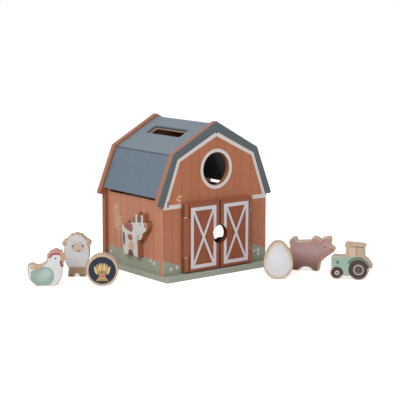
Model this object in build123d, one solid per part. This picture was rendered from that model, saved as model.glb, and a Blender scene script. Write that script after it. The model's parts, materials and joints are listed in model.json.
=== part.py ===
from build123d import *
import math
import os

# A wooden farm shape sorter: a gambrel-roofed barn on a base plate, two hinged doors,
# a carry slot in the roof, cut-outs in its walls and seven loose shape blocks.
# Millimetres, X to the right, Y to the back, Z up, origin under the middle of the barn.

os.makedirs("parts", exist_ok=True)

# Overall sizes of the barn
BARN_HEIGHT = 200.0
BARN_DEPTH = 138.2
WALL_HALF_WIDTH = 86.3
EAVE_HALF_WIDTH = 95.4
EAVE_DROP = 101.0
EAVE_LIP = 1.9
KNEE_HALF_WIDTH = 69.9
KNEE_DROP = 38.2
GABLE_ROUND = 2.2

# Board thicknesses
BASE_THICK = 7.2
GABLE_THICK = 8.0
WALL_THICK = 6.0
ROOF_THICK = 6.0
DOOR_THICK = 8.0
BLOCK_THICK = 16.0

# Base plate
BASE_SIDE_LEDGE = 3.2
BASE_FRONT_LEDGE = 12.9
BASE_BACK_LEDGE = 3.0
BASE_CORNER = 3.0

# How far walls and roof sit inside the gable outline
WALL_INSET = 4.3
ROOF_INSET = 3.2
ROOF_FOOT_LIFT = 7.2
WALL_TOP_LIFT = 7.0
EAVE_SLIT = 5.3
EAVE_SLIT_ENDS = 5.1

# Front gable openings
WINDOW_RADIUS = 21.8
WINDOW_HEIGHT = 138.0
DOORWAY_HALF_WIDTH = 44.0
DOORWAY_TOP = 92.0
DOORWAY_CORNER = 3.0

# Carry slot in each upper roof panel
SLOT_LENGTH = 73.5
SLOT_WIDTH = 17.0
SLOT_FROM_RIDGE = 29.2
SLOT_TO_BACK = 3.5
SLOT_CORNER = 3.0

# Doors and their hinge posts
DOOR_FLOOR_GAP = 1.3
DOOR_TOP = 98.0
DOOR_WALL_GAP = 0.3
DOOR_MEETING_GAP = 1.0
HINGE_HALF_SPAN = 53.0
HINGE_SPLIT_LOW = 28.0
HINGE_SPLIT_HIGH = 80.0
HINGE_SPLIT_GAP = 1.5
HINGE_SIDE_GAP = 0.35
PIN_RADIUS = 1.5
PIN_FIT = 0.03
PIN_RUNNING = 0.10
PIN_BURY = 12.0
WASHER_RADIUS = 2.8
WASHER_THICK = 1.3
FINGER_RADIUS = 12.25
FINGER_HEIGHT = 52.9

# Fits and edge finishes
BLOCK_CLEARANCE = 0.8
WINDOW_CLEARANCE = 1.8
EDGE = 0.8
SEAM = 0.5
BLOCK_EDGE = 0.7
COW_STANDS_OUT = 8.2
COW_SETTLES = 0.4

# Block sizes that drive their outlines
EGG_RADIUS = 18.9
SHEEP_CURL = 4.6
TRACTOR_BIG_WHEEL = 12.9
TRACTOR_SMALL_WHEEL = 8.4
TRACTOR_FENDER = 5.0
TRACTOR_FENDER_FOOT = 15.5
OUTLINE_ROUND = 1.2

# Where the cut-outs sit: across as seen from outside, and height of the block's feet
COW_PLACE = (-2.0, 23.6)
PIG_PLACE = (16.0, 21.0)
TRACTOR_PLACE = (-36.0, 20.0)
HEN_PLACE = (33.0, 20.0)
SHEEP_PLACE = (-24.0, 82.0)
EGG_PLACE = (26.0, 92.0)

# Where the loose blocks stand on the floor: x, y of the front foot and the turn in degrees
HEN_STAND = (-217.7, 2.1, 30.0)
SHEEP_STAND = (-157.7, 21.7, 36.4)
DISC_STAND = (-160.8, -41.6, 37.2)
EGG_STAND = (38.4, -148.5, 42.2)
PIG_STAND = (102.3, -133.3, 52.2)
TRACTOR_STAND = (108.5, -203.5, 51.2)

# Sizes that follow from the ones above
HALF_DEPTH = BARN_DEPTH / 2
INNER_DEPTH = BARN_DEPTH - 2 * GABLE_THICK
WALL_FACE = WALL_HALF_WIDTH - WALL_INSET
EAVE_Z = BARN_HEIGHT - EAVE_DROP
KNEE_Z = BARN_HEIGHT - KNEE_DROP
DOOR_BOTTOM = BASE_THICK + DOOR_FLOOR_GAP
POST_RADIUS = DOOR_THICK / 2
HINGE_Y = -(HALF_DEPTH + DOOR_WALL_GAP + POST_RADIUS)

FRONT = Plane.XZ
BACK = Plane(origin=(0, 0, 0), x_dir=(-1, 0, 0), z_dir=(0, 1, 0))
LEFT = Plane(origin=(0, 0, 0), x_dir=(0, -1, 0), z_dir=(-1, 0, 0))
RIGHT = Plane(origin=(0, 0, 0), x_dir=(0, 1, 0), z_dir=(1, 0, 0))


# Roof line, worked out on the right-hand half and mirrored
def roof_line(inset):
    """Eave, knee and ridge of the roof line moved inwards by inset."""
    eave = Vector(EAVE_HALF_WIDTH, EAVE_Z)
    knee = Vector(KNEE_HALF_WIDTH, KNEE_Z)
    ridge = Vector(0, BARN_HEIGHT)
    steep = (knee - eave).normalized()
    shallow = (ridge - knee).normalized()
    steep_in = Vector(-steep.Y, steep.X) * inset
    shallow_in = Vector(-shallow.Y, shallow.X) * inset
    start = eave + steep_in
    high = knee + shallow_in
    cross = steep.X * shallow.Y - steep.Y * shallow.X
    reach = ((high - start).X * shallow.Y - (high - start).Y * shallow.X) / cross
    bend = start + steep * reach
    top = high + shallow * (-high.X / shallow.X)
    return start, bend, top, steep, shallow


def at_height(point, direction, height):
    """Point where a line of the roof section reaches a height."""
    return point + direction * ((height - point.Y) / direction.Y)


def mirrored(points):
    """The same section points on the other side of the ridge."""
    return [Vector(-p.X, p.Y) for p in reversed(points)]


def closed(points):
    """Flat face through straight-sided points."""
    return make_face(Polyline(*[(p.X, p.Y) for p in points], close=True))


def outline(start, *runs):
    """Flat face bounded by runs: one point is a line, two points are an arc through the first."""
    edges = []
    here = start
    for run in runs:
        if len(run) == 1:
            edges.append(Line(here, run[0]))
        else:
            edges.append(ThreePointArc(here, run[0], run[1]))
        here = run[-1]
    return make_face(edges)


def softened(shape, radius=OUTLINE_ROUND):
    """Round every corner of an outline where two runs meet at an angle."""
    corners = []
    for vertex in shape.vertices():
        point = Vector(vertex.X, vertex.Y)
        meeting = [e for e in shape.edges() if min((e @ 0 - point).length, (e @ 1 - point).length) < 0.01]
        ways = []
        for edge in meeting:
            at_start = (edge @ 0 - point).length < 0.01
            ways.append(edge % 0 if at_start else -(edge % 1))
        if len(ways) == 2 and ways[0].get_angle(ways[1]) < 175:
            corners.append(vertex)
    return fillet(corners, radius) if corners else shape


# Outlines of the blocks, feet on the horizontal axis
def cow_outline():
    return outline(
        (-10.8, 0),
        ((-1.5, 0),),
        ((6.0, 4.6), (13.2, 0)),
        ((21.6, 0),),
        ((21.3, 22.6),),
        ((27.4, 24.4), (31.6, 29.4)),
        ((33.0, 34.0),),
        ((40.6, 39.6), (41.6, 46.0)),
        ((38.2, 48.6), (34.2, 46.8)),
        ((33.4, 52.0), (33.6, 57.0)),
        ((30.6, 58.2), (28.8, 54.6)),
        ((24.8, 56.4), (20.8, 55.0)),
        ((18.6, 58.4), (15.6, 56.6)),
        ((15.6, 52.0), (15.0, 47.4)),
        ((10.2, 49.8), (5.4, 48.6)),
        ((5.8, 45.2), (8.6, 43.2)),
        ((-6.0, 43.4),),
        ((-13.0, 40.0), (-14.8, 31.0)),
        ((-15.2, 22.0), (-13.0, 12.0)),
        ((-10.8, 0),),
    )


def pig_outline():
    return outline(
        (-20.5, 0),
        ((-11.0, 0),),
        ((-2.5, 5.2), (9.0, 0)),
        ((15.6, 0),),
        ((16.6, 6.0), (17.8, 11.5)),
        ((25.0, 19.0),),
        ((33.5, 25.5),),
        ((36.2, 28.0), (35.2, 32.5)),
        ((31.0, 34.8),),
        ((31.4, 40.6),),
        ((30.8, 45.0), (26.6, 46.0)),
        ((20.0, 44.2),),
        ((17.4, 41.2),),
        ((12.5, 44.8), (7.4, 45.2)),
        ((3.6, 40.0),),
        ((-14.6, 38.6),),
        ((-17.2, 43.6), (-20.6, 42.4)),
        ((-23.8, 38.4), (-22.4, 33.6)),
        ((-24.2, 21.0), (-21.6, 5.0)),
        ((-20.5, 0),),
    )


def hen_outline():
    return outline(
        (-9.0, 0),
        ((13.7, 0),),
        ((20.6, 10.0), (22.2, 22.4)),
        ((24.4, 25.4), (23.4, 30.0)),
        ((25.6, 34.4), (23.6, 39.6)),
        ((22.0, 43.0), (18.6, 43.6)),
        ((14.6, 45.4), (11.4, 43.0)),
        ((8.0, 42.6), (6.4, 39.6)),
        ((3.4, 36.6), (3.8, 32.6)),
        ((-2.0, 26.6), (-10.4, 25.8)),
        ((-18.4, 26.9), (-21.4, 22.0)),
        ((-18.8, 8.8), (-9.0, 0)),
    )


def sheep_outline():
    legs = outline(
        (-11.8, 0),
        ((-2.8, 0),),
        ((0, 4.2), (2.8, 0)),
        ((11.8, 0),),
        ((10.6, 16.0),),
        ((-10.6, 16.0),),
        ((-11.8, 0),),
    )
    fleece = outline(
        (-12.2, 13.4),
        ((0, 10.6), (12.2, 13.4)),
        ((16.4, 27.0), (14.4, 44.0)),
        ((0, 54.6), (-14.4, 44.0)),
        ((-16.4, 27.0), (-12.2, 13.4)),
    )
    ear = outline(
        (11.0, 39.6),
        ((14.2, 38.8), (16.6, 40.6)),
        ((18.8, 43.6), (17.0, 46.4)),
        ((14.6, 48.0), (11.0, 46.6)),
        ((11.0, 39.6),),
    )
    curls = Sketch()
    for step in range(-2, 3):
        turn = math.radians(90 - 30 * step)
        curls += Pos(9.6 * math.cos(turn), 42.2 + 9.8 * math.sin(turn)) * Circle(SHEEP_CURL)
    return legs + fleece + ear + mirror(ear, about=Plane.YZ) + curls


def egg_outline():
    r = EGG_RADIUS
    side_x = 2 * r * math.cos(math.radians(22.5)) - r
    side_y = 2 * r * math.sin(math.radians(22.5)) + r
    joint_x = (math.sqrt(2) - 1) * r
    joint_y = (math.sqrt(2) + 1) * r
    crown = (4 - math.sqrt(2)) * r
    return outline(
        (-r, r),
        ((0, 0), (r, r)),
        ((side_x, side_y), (joint_x, joint_y)),
        ((0, crown), (-joint_x, joint_y)),
        ((-side_x, side_y), (-r, r)),
    )


def tractor_outline():
    big = Pos(13.7, TRACTOR_BIG_WHEEL) * Circle(TRACTOR_BIG_WHEEL)
    fender = Pos(13.7, TRACTOR_BIG_WHEEL) * Circle(TRACTOR_BIG_WHEEL + TRACTOR_FENDER)
    fender &= Pos(13.7, TRACTOR_FENDER_FOOT) * Rectangle(40, 32, align=(Align.CENTER, Align.MIN))
    small = Pos(-14.2, TRACTOR_SMALL_WHEEL) * Circle(TRACTOR_SMALL_WHEEL)
    hood = outline(
        (-20.6, 8.0),
        ((-2.6, 4.6),),
        ((10.0, 5.4),),
        ((10.0, 30.2),),
        ((-18.6, 30.2),),
        ((-20.9, 29.2), (-21.6, 27.0)),
        ((-20.6, 8.0),),
    )
    cab = outline(
        (-4.0, 26.0),
        ((21.6, 26.0),),
        ((20.2, 43.0),),
        ((-2.4, 43.0),),
        ((-4.0, 26.0),),
    )
    roof = Pos(8.9, 44.2) * Rot(0, 0, -3) * RectangleRounded(26.4, 5.4, 2.2)
    return big + fender + small + hood + cab + roof


def disc_outline():
    radius = WINDOW_RADIUS - WINDOW_CLEARANCE
    return Pos(0, radius) * Circle(radius)


def facing(place, mirror=False):
    """Where an outline sits on a wall: its offset across and up, turned round if mirrored."""
    return (place[0], place[1], mirror)


def placed(shape, where):
    """The outline moved to its place on a wall."""
    across, up, flip = where
    if flip:
        shape = mirror(shape, about=Plane.YZ)
    return Pos(across, up) * shape


def cutter(shape, where, plane, inner, thick):
    """Solid that opens a wall for a block, wider than the block by the clearance."""
    hole = offset(placed(shape, where), BLOCK_CLEARANCE)
    return extrude(plane.offset(inner - 1) * hole, thick + 2)


def block(shape, plane):
    """A block cut from board, its corners rounded and the rims of both faces eased."""
    solid = extrude(plane * softened(shape), -BLOCK_THICK)
    axis = Axis((0, 0, 0), plane.z_dir)
    faces = solid.faces().filter_by(plane)
    rims = faces.sort_by(axis)[0].edges() + faces.sort_by(axis)[-1].edges()
    return chamfer(rims, BLOCK_EDGE)


def standing(stand):
    """Plane of the printed face of a block that stands on the floor."""
    x, y, turn = stand
    a = math.radians(turn)
    return Plane(
        origin=(x, y, 0),
        x_dir=(math.cos(a), -math.sin(a), 0),
        z_dir=(-math.sin(a), -math.cos(a), 0),
    )


# Barn boards
def gable_outline():
    tip = Vector(EAVE_HALF_WIDTH, EAVE_Z)
    knee = Vector(KNEE_HALF_WIDTH, KNEE_Z)
    steep = roof_line(0)[3]
    lip = at_height(tip, steep, EAVE_Z - EAVE_LIP)
    half = [
        Vector(WALL_HALF_WIDTH, BASE_THICK),
        Vector(WALL_HALF_WIDTH, lip.Y),
        lip,
        knee,
        Vector(0, BARN_HEIGHT),
    ]
    face = closed(half + mirrored(half[:-1]))
    upper = [v for v in face.vertices() if v.Y > BASE_THICK + 1]
    outer = [v for v in upper if abs(abs(v.X) - WALL_HALF_WIDTH) > 0.5]
    return fillet(outer, GABLE_ROUND)


def eased(solid, plane, size=EDGE):
    """Ease the outer rim of a board's two broad faces."""
    axis = Axis((0, 0, 0), plane.z_dir)
    broad = solid.faces().filter_by(plane).sort_by(axis)
    rims = broad[-1].outer_wire().edges()
    return chamfer(rims, size)


def base_plate():
    width = 2 * (WALL_HALF_WIDTH + BASE_SIDE_LEDGE)
    length = BARN_DEPTH + BASE_FRONT_LEDGE + BASE_BACK_LEDGE
    middle = (BASE_BACK_LEDGE - BASE_FRONT_LEDGE) / 2
    slab = Pos(0, middle) * RectangleRounded(width, length, BASE_CORNER)
    plate = extrude(slab, BASE_THICK)
    return fillet(plate.faces().sort_by(Axis.Z)[-1].edges(), 1.2)


def front_gable():
    window = Pos(0, WINDOW_HEIGHT) * Circle(WINDOW_RADIUS)
    tall = DOORWAY_TOP - BASE_THICK + DOORWAY_CORNER
    doorway = RectangleRounded(2 * DOORWAY_HALF_WIDTH, tall, DOORWAY_CORNER)
    doorway = Pos(0, DOORWAY_TOP - tall / 2) * doorway
    doorway += Pos(0, BASE_THICK) * Rectangle(2 * DOORWAY_HALF_WIDTH, 4 * DOORWAY_CORNER)
    board = extrude(FRONT.offset(HALF_DEPTH - GABLE_THICK) * gable_outline(), GABLE_THICK)
    board = eased(board, FRONT)
    cuts = extrude(FRONT.offset(HALF_DEPTH - GABLE_THICK - 1) * (window + doorway), GABLE_THICK + 2)
    return board - cuts


def back_gable():
    board = extrude(BACK.offset(HALF_DEPTH - GABLE_THICK) * gable_outline(), GABLE_THICK)
    board = eased(board, BACK)
    inner = HALF_DEPTH - GABLE_THICK
    for shape, place in (
        (tractor_outline(), TRACTOR_PLACE),
        (hen_outline(), HEN_PLACE),
        (sheep_outline(), SHEEP_PLACE),
        (egg_outline(), EGG_PLACE),
    ):
        board -= cutter(shape, facing(place), BACK, inner, GABLE_THICK)
    return board


def side_wall(plane):
    """Plain side wall between the gables, its top edge relieved under the eave."""
    top = EAVE_Z + WALL_TOP_LIFT
    board = Rectangle(INNER_DEPTH, top - BASE_THICK, align=(Align.CENTER, Align.MIN))
    board = Pos(0, BASE_THICK) * board
    slit = Pos(0, top) * Rectangle(INNER_DEPTH - 2 * EAVE_SLIT_ENDS, 2 * EAVE_SLIT)
    slit = fillet(slit.vertices().filter_by_position(Axis.Y, 0, top), EAVE_SLIT / 2)
    return extrude(plane.offset(WALL_FACE - WALL_THICK) * (board - slit), WALL_THICK)


def left_wall():
    inner = WALL_FACE - WALL_THICK
    return side_wall(LEFT) - cutter(cow_outline(), facing(COW_PLACE), LEFT, inner, WALL_THICK)


def right_wall():
    inner = WALL_FACE - WALL_THICK
    where = facing(PIG_PLACE, mirror=True)
    return side_wall(RIGHT) - cutter(pig_outline(), where, RIGHT, inner, WALL_THICK)


def roof_sections():
    """Sections of the right-hand lower and upper roof panels, mitred at knee and ridge."""
    out_start, out_knee, out_ridge, steep, _ = roof_line(ROOF_INSET)
    _, in_knee, in_ridge, _, _ = roof_line(ROOF_INSET + ROOF_THICK)
    foot = at_height(out_start, steep, EAVE_Z + ROOF_FOOT_LIFT)
    inner_foot = foot + Vector(-steep.Y, steep.X) * ROOF_THICK
    lower = [foot, out_knee, in_knee, inner_foot]
    upper = [out_knee, out_ridge, in_ridge, in_knee]
    return lower, upper


def panel(section):
    """A roof panel run between the gables from its section."""
    face = closed(section)
    return extrude(FRONT.offset(-INNER_DEPTH / 2) * face, INNER_DEPTH)


def seam_eased(solid, corner):
    """Ease the long outer edge of a panel at a joint of the roof."""
    edges = solid.edges().filter_by(Axis.Y)
    nearest = edges.sort_by(lambda e: (e.center() - Vector(corner.X, 0, corner.Y)).length)[0]
    return chamfer(nearest, SEAM)


def lower_roof(sign):
    lower, _ = roof_sections()
    corner = lower[1]
    section = lower
    if sign < 0:
        corner = Vector(-corner.X, corner.Y)
        section = mirrored(lower)
    return seam_eased(panel(section), corner)


def upper_roof(sign):
    _, upper = roof_sections()
    corner = upper[0]
    section = upper
    shallow = roof_line(ROOF_INSET)[4]
    if sign < 0:
        corner = Vector(-corner.X, corner.Y)
        section = mirrored(upper)
    solid = seam_eased(panel(section), corner)
    ridge = roof_line(ROOF_INSET)[2]
    middle = ridge - shallow * SLOT_FROM_RIDGE
    down = Vector(-shallow.X * sign, 0, -shallow.Y)
    normal = Vector(-down.Z * sign, 0, down.X * sign)
    face = Plane(
        origin=(middle.X * sign, 0, middle.Y),
        x_dir=(0, 1, 0),
        z_dir=(normal.X, 0, normal.Z),
    )
    slot = Pos(SLOT_TO_BACK, 0) * RectangleRounded(SLOT_LENGTH, SLOT_WIDTH, SLOT_CORNER)
    tool = extrude(face.offset(-ROOF_THICK - 1) * slot, ROOF_THICK + 2)
    solid -= tool
    outer = solid.faces().filter_by(face).sort_by(Axis((0, 0, 0), face.z_dir))[-1]
    return chamfer(outer.inner_wires()[0].edges(), EDGE)


# Doors and hinges
def knuckle_heights():
    """Bottom block, door knuckle and top block, split by the hinge gaps."""
    half = HINGE_SPLIT_GAP / 2
    return (
        (DOOR_BOTTOM, HINGE_SPLIT_LOW - half),
        (HINGE_SPLIT_LOW + half, HINGE_SPLIT_HIGH - half),
        (HINGE_SPLIT_HIGH + half, DOOR_TOP),
    )


def pin_span():
    return HINGE_SPLIT_LOW - PIN_BURY, HINGE_SPLIT_HIGH + PIN_BURY


def rod(sign, radius, low, high):
    """Upright cylinder on a hinge axis."""
    centre = Plane(origin=(sign * HINGE_HALF_SPAN, HINGE_Y, low))
    return extrude(centre * Circle(radius), high - low)


def hinge_block(sign, low, high):
    """Fixed hinge block: a rounded post with a flat back glued to the gable."""
    back = POST_RADIUS + DOOR_WALL_GAP
    foot = Rectangle(2 * POST_RADIUS, back, align=(Align.CENTER, Align.MIN))
    section = Pos(sign * HINGE_HALF_SPAN, HINGE_Y) * (Circle(POST_RADIUS) + foot)
    post = extrude(Plane.XY.offset(low) * section, high - low)
    bottom, top = pin_span()
    bore = rod(sign, PIN_RADIUS + PIN_FIT, max(low - 1, bottom), min(high + 1, top))
    ends = post.faces().filter_by(Axis.Z)
    round_rims = [e for f in ends for e in f.edges() if e.geom_type == GeomType.CIRCLE]
    return chamfer(round_rims, EDGE) - bore


def door(sign):
    """One door leaf with its rounded hinge edge and half of the finger hole."""
    low, middle, high = knuckle_heights()
    reach = HINGE_HALF_SPAN - DOOR_MEETING_GAP / 2
    leaf = Rectangle(reach, DOOR_THICK, align=(Align.MIN, Align.CENTER))
    section = Circle(POST_RADIUS) + leaf
    if sign > 0:
        section = mirror(section, about=Plane.YZ)
    section = Pos(sign * HINGE_HALF_SPAN, HINGE_Y) * section
    body = extrude(Plane.XY.offset(DOOR_BOTTOM) * section, DOOR_TOP - DOOR_BOTTOM)
    front = body.faces().filter_by(Axis.Y).sort_by(Axis.Y)[0]
    body = chamfer(front.edges().filter_by(Axis.X) + front.edges().filter_by(Axis.Z), EDGE)
    room = POST_RADIUS + HINGE_SIDE_GAP
    notch = Rectangle(2 * room, 2 * room)
    notch = Pos(sign * HINGE_HALF_SPAN, HINGE_Y) * notch
    body -= extrude(Plane.XY.offset(DOOR_BOTTOM - 1) * notch, middle[0] - DOOR_BOTTOM + 1)
    body -= extrude(Plane.XY.offset(middle[1]) * notch, DOOR_TOP + 1 - middle[1])
    body -= rod(sign, PIN_RADIUS + PIN_RUNNING, middle[0] - 1, middle[1] + 1)
    hole = FRONT.offset(-HINGE_Y - DOOR_THICK) * Pos(0, FINGER_HEIGHT) * Circle(FINGER_RADIUS)
    body -= extrude(hole, 2 * DOOR_THICK)
    return body


def hinge_pin(sign):
    low, high = pin_span()
    return chamfer(rod(sign, PIN_RADIUS, low, high).edges(), 0.3)


def hinge_washers():
    """Four spacer washers, one in each hinge split, lying on the fixed blocks."""
    low, middle, high = knuckle_heights()
    washers = []
    for sign in (-1, 1):
        bore = rod(sign, PIN_RADIUS + PIN_FIT, DOOR_BOTTOM, DOOR_TOP)
        washers.append(rod(sign, WASHER_RADIUS, low[1], low[1] + WASHER_THICK) - bore)
        washers.append(rod(sign, WASHER_RADIUS, high[0] - WASHER_THICK, high[0]) - bore)
    return Compound(washers)


# Every piece under its name
def build():
    low, _, high = knuckle_heights()
    cow_face = LEFT.offset(WALL_FACE + COW_STANDS_OUT)
    cow_seat = (COW_PLACE[0], COW_PLACE[1] - COW_SETTLES)
    return {
        "base_plate": base_plate(),
        "front_gable_wall": front_gable(),
        "back_gable_wall": back_gable(),
        "left_side_wall": left_wall(),
        "right_side_wall": right_wall(),
        "left_lower_roof_panel": lower_roof(-1),
        "right_lower_roof_panel": lower_roof(1),
        "left_upper_roof_panel": upper_roof(-1),
        "right_upper_roof_panel": upper_roof(1),
        "left_hinge_block_low": hinge_block(-1, *low),
        "left_hinge_block_high": hinge_block(-1, *high),
        "right_hinge_block_low": hinge_block(1, *low),
        "right_hinge_block_high": hinge_block(1, *high),
        "left_hinge_pin": hinge_pin(-1),
        "right_hinge_pin": hinge_pin(1),
        "hinge_washers": hinge_washers(),
        "left_door": door(-1),
        "right_door": door(1),
        "cow_block": block(placed(cow_outline(), facing(cow_seat)), cow_face),
        "hen_block": block(hen_outline(), standing(HEN_STAND)),
        "sheep_block": block(sheep_outline(), standing(SHEEP_STAND)),
        "round_block": block(disc_outline(), standing(DISC_STAND)),
        "egg_block": block(egg_outline(), standing(EGG_STAND)),
        "pig_block": block(pig_outline(), standing(PIG_STAND)),
        "tractor_block": block(tractor_outline(), standing(TRACTOR_STAND)),
    }


for name, piece in build().items():
    export_step(piece, f"parts/{name}.step")
    print(name, len(piece.solids()), round(piece.volume, 1))
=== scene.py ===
"""Wooden barn shape sorter: painted boards, printed doors and seven printed blocks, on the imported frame."""

import json
import logging
import math
from dataclasses import dataclass
from enum import Enum
from functools import reduce
from operator import or_
from typing import Sequence, Union

import bpy
import numpy as np
from mathutils import Matrix, Vector
from mathutils.geometry import delaunay_2d_cdt

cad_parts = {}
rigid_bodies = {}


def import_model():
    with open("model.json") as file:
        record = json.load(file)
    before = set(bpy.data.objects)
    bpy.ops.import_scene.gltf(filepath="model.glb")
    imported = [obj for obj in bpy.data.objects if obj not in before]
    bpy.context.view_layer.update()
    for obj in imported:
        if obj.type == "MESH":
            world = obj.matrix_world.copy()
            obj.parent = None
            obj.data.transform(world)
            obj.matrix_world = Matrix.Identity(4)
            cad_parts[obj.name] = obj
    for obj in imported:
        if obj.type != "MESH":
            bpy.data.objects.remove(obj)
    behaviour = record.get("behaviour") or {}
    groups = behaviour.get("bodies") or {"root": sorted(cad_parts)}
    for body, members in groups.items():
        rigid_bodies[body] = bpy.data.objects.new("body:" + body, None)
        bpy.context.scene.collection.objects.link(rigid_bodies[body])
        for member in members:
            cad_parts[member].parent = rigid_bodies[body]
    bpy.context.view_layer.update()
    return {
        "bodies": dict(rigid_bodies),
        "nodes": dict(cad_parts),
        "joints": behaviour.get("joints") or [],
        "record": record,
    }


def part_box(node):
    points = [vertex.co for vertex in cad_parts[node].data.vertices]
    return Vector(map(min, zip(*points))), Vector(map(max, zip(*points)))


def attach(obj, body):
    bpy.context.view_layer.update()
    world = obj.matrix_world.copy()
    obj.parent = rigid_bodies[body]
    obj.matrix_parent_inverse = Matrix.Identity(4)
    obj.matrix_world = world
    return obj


log = logging.getLogger("barn_sorter")

MM = 1000.0
GOLDEN = 0.618034
HILL_MM = 83.0
HASH = (7.31, 12.9898, 43.7)
Socket = bpy.types.NodeSocket
Point = tuple[float, float]
Triple = tuple[float, float, float]


class Chip(Enum):
    """The sorter's paint colours, with lit and shaded copies and painted shade and light among them, in 0 to
    255 screen values.
    """

    PLANK = (173, 112, 83)
    PLANK_HIGH = (169, 103, 70)
    # Lighter copy of the plank paint for the left wall and the front gable's rim below the eave: painted
    # light.
    PLANK_LEFT_LIT = (184, 124, 96)
    PLANK_LINE = (120, 74, 52)
    RIM = (158, 106, 82)
    # Lighter copy of the rim paint for the back gable's rim below the eave: painted light.
    RIM_LOW_LIT = (169, 118, 94)
    BORE = (146, 92, 62)
    # Dark grey on the barn's inner faces: painted shade.
    INSIDE = (60, 57, 55)
    # Lighter grey under the steep roof panels towards the front: painted light.
    INSIDE_LIT = (124, 123, 121)
    SLATE = (88, 96, 99)
    SLATE_DEEP = (66, 74, 78)
    TRIM = (206, 197, 192)
    DOOR_TRIM = (203, 197, 200)
    # Lighter copy of the roof paint for the shallow panels, painted sheen, and a darker copy for the steep
    # panels, painted shade.
    ROOF_UPPER_SHEEN = (119, 130, 140)
    ROOF_LOWER_SHADE = (100, 114, 128)
    ROOF_LINE = (70, 82, 96)
    ROOF_SEAM = (58, 66, 76)
    ROOF_UNDER = (164, 98, 66)
    # Darker slate for the slot's sides: partly their own paint, partly painted shade.
    SLOT = (96, 106, 114)
    SLOT_BARE = (196, 172, 156)
    DOOR = (141, 79, 50)
    # Darker band along the top of the door's face: painted shade.
    DOOR_TOP_SHADE = (122, 66, 40)
    DOOR_PANEL = (138, 74, 46)
    DOOR_DARK = (88, 48, 34)
    # Near black on the front of the doors' meeting edges: painted shade in the gap between the doors.
    DOOR_GAP_SHADE = (40, 16, 10)
    # Dark brown in the doors' finger hole: painted shade.
    DOOR_BORE_SHADE = (94, 44, 28)
    # Light brown on the door's notch walls beside the hinge blocks: painted light against their shade.
    DOOR_NOTCH_LIGHT = (168, 106, 78)
    POST = (145, 83, 52)
    WASHER = (236, 196, 180)
    STEEL = (214, 210, 205)
    STEEL_DEEP = (188, 184, 180)
    GRASS = (149, 153, 134)
    GRASS_DEEP = (120, 128, 112)
    PETAL = (200, 200, 195)
    WHEAT = (198, 164, 132)
    BASE = (150, 154, 140)
    WOOD = (196, 174, 154)
    WOOD_DEEP = (174, 148, 126)
    COW_SIDE = (156, 102, 74)
    WHITE = (204, 204, 203)
    DARK = (62, 48, 46)
    SAGE = (148, 174, 158)
    RED = (190, 108, 102)
    RED_DEEP = (146, 76, 72)
    COMB = (196, 122, 112)
    COMB_SIDE = (182, 130, 121)
    PATCH = (150, 88, 82)
    MAUVE = (112, 84, 84)
    TAN = (196, 156, 128)
    BEIGE = (194, 176, 162)
    BROWN = (165, 135, 113)
    HOOF = (118, 92, 76)
    PINK = (170, 132, 127)
    PINK_DEEP = (128, 92, 88)
    EAR = (178, 138, 122)
    NAVY = (27, 43, 61)
    GOLD = (186, 150, 96)
    GOLD_LIGHT = (206, 178, 128)
    TYRE = (70, 56, 53)
    TYRE_DEEP = (52, 41, 39)


Paint = Union[Chip, tuple[int, int, int]]


def linear(paint: Paint) -> Triple:
    """Linear colour of a paint given in 0 to 255 screen values: ((c + 0.055) / 1.055) ** 2.4.

    Args:
        paint: A chip or its screen values.

    Returns:
        The linear colour.
    """
    screen = np.array(paint.value if isinstance(paint, Chip) else paint) / 255
    colour = np.where(screen <= 0.04045, screen / 12.92, ((screen + 0.055) / 1.055) ** 2.4)
    return tuple(float(c) for c in colour)


@dataclass(frozen=True)
class Eye:
    """The photograph's viewpoint, worked out from the barn's corners in its own frame."""

    place_m: Triple = (-1.02412, -1.33809, 0.36385)
    yaw_deg: float = 38.16
    pitch_deg: float = 9.30
    roll_deg: float = 0.14
    focal_px: float = 1268.59
    frame_px: float = 400.0
    sensor_mm: float = 36.0
    clip_m: Point = (0.05, 20.0)

    def forward(self) -> Vector:
        """Direction that the camera looks along."""
        yaw, pitch = math.radians(self.yaw_deg), math.radians(self.pitch_deg)
        return Vector((math.sin(yaw) * math.cos(pitch), math.cos(yaw) * math.cos(pitch), -math.sin(pitch)))

    def build(self) -> None:
        """Makes the camera and gives it to the scene."""
        data = bpy.data.cameras.new("photo_camera")
        data.sensor_width = self.sensor_mm
        data.lens = self.focal_px * self.sensor_mm / self.frame_px
        data.clip_start, data.clip_end = self.clip_m
        camera = add_object("photo_camera", data)
        camera.location = self.place_m
        turn = self.forward().to_track_quat("-Z", "Y").to_matrix()
        camera.rotation_euler = (turn @ Matrix.Rotation(math.radians(self.roll_deg), 3, "Z")).to_euler()
        bpy.context.scene.camera = camera


def add_object(name: str, data: bpy.types.ID) -> bpy.types.Object:
    """Makes an object of a mesh, lamp or camera and links it to the scene.

    Args:
        name: Name of the object.
        data: Its mesh, lamp or camera.

    Returns:
        The object.
    """
    made = bpy.data.objects.new(name, data)
    bpy.context.scene.collection.objects.link(made)
    return made


def dress(name: str, material: bpy.types.Material) -> None:
    """Gives a piece one material in place of what it came with."""
    slots = bpy.data.objects[name].data.materials
    slots.clear()
    slots.append(material)


def read(items: bpy.types.bpy_prop_collection, name: str, width: int = 1, kind: type = float) -> np.ndarray:
    """A property of every item of a mesh, read as one array.

    Args:
        items: The mesh's points, faces or triangles.
        name: Name of the property.
        width: Numbers in each item.
        kind: Type of the numbers.

    Returns:
        The array, with a row for each item where items have several numbers.
    """
    values = np.empty(len(items) * width, dtype=kind)
    items.foreach_get(name, values)
    return values.reshape(-1, width) if width > 1 else values


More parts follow.
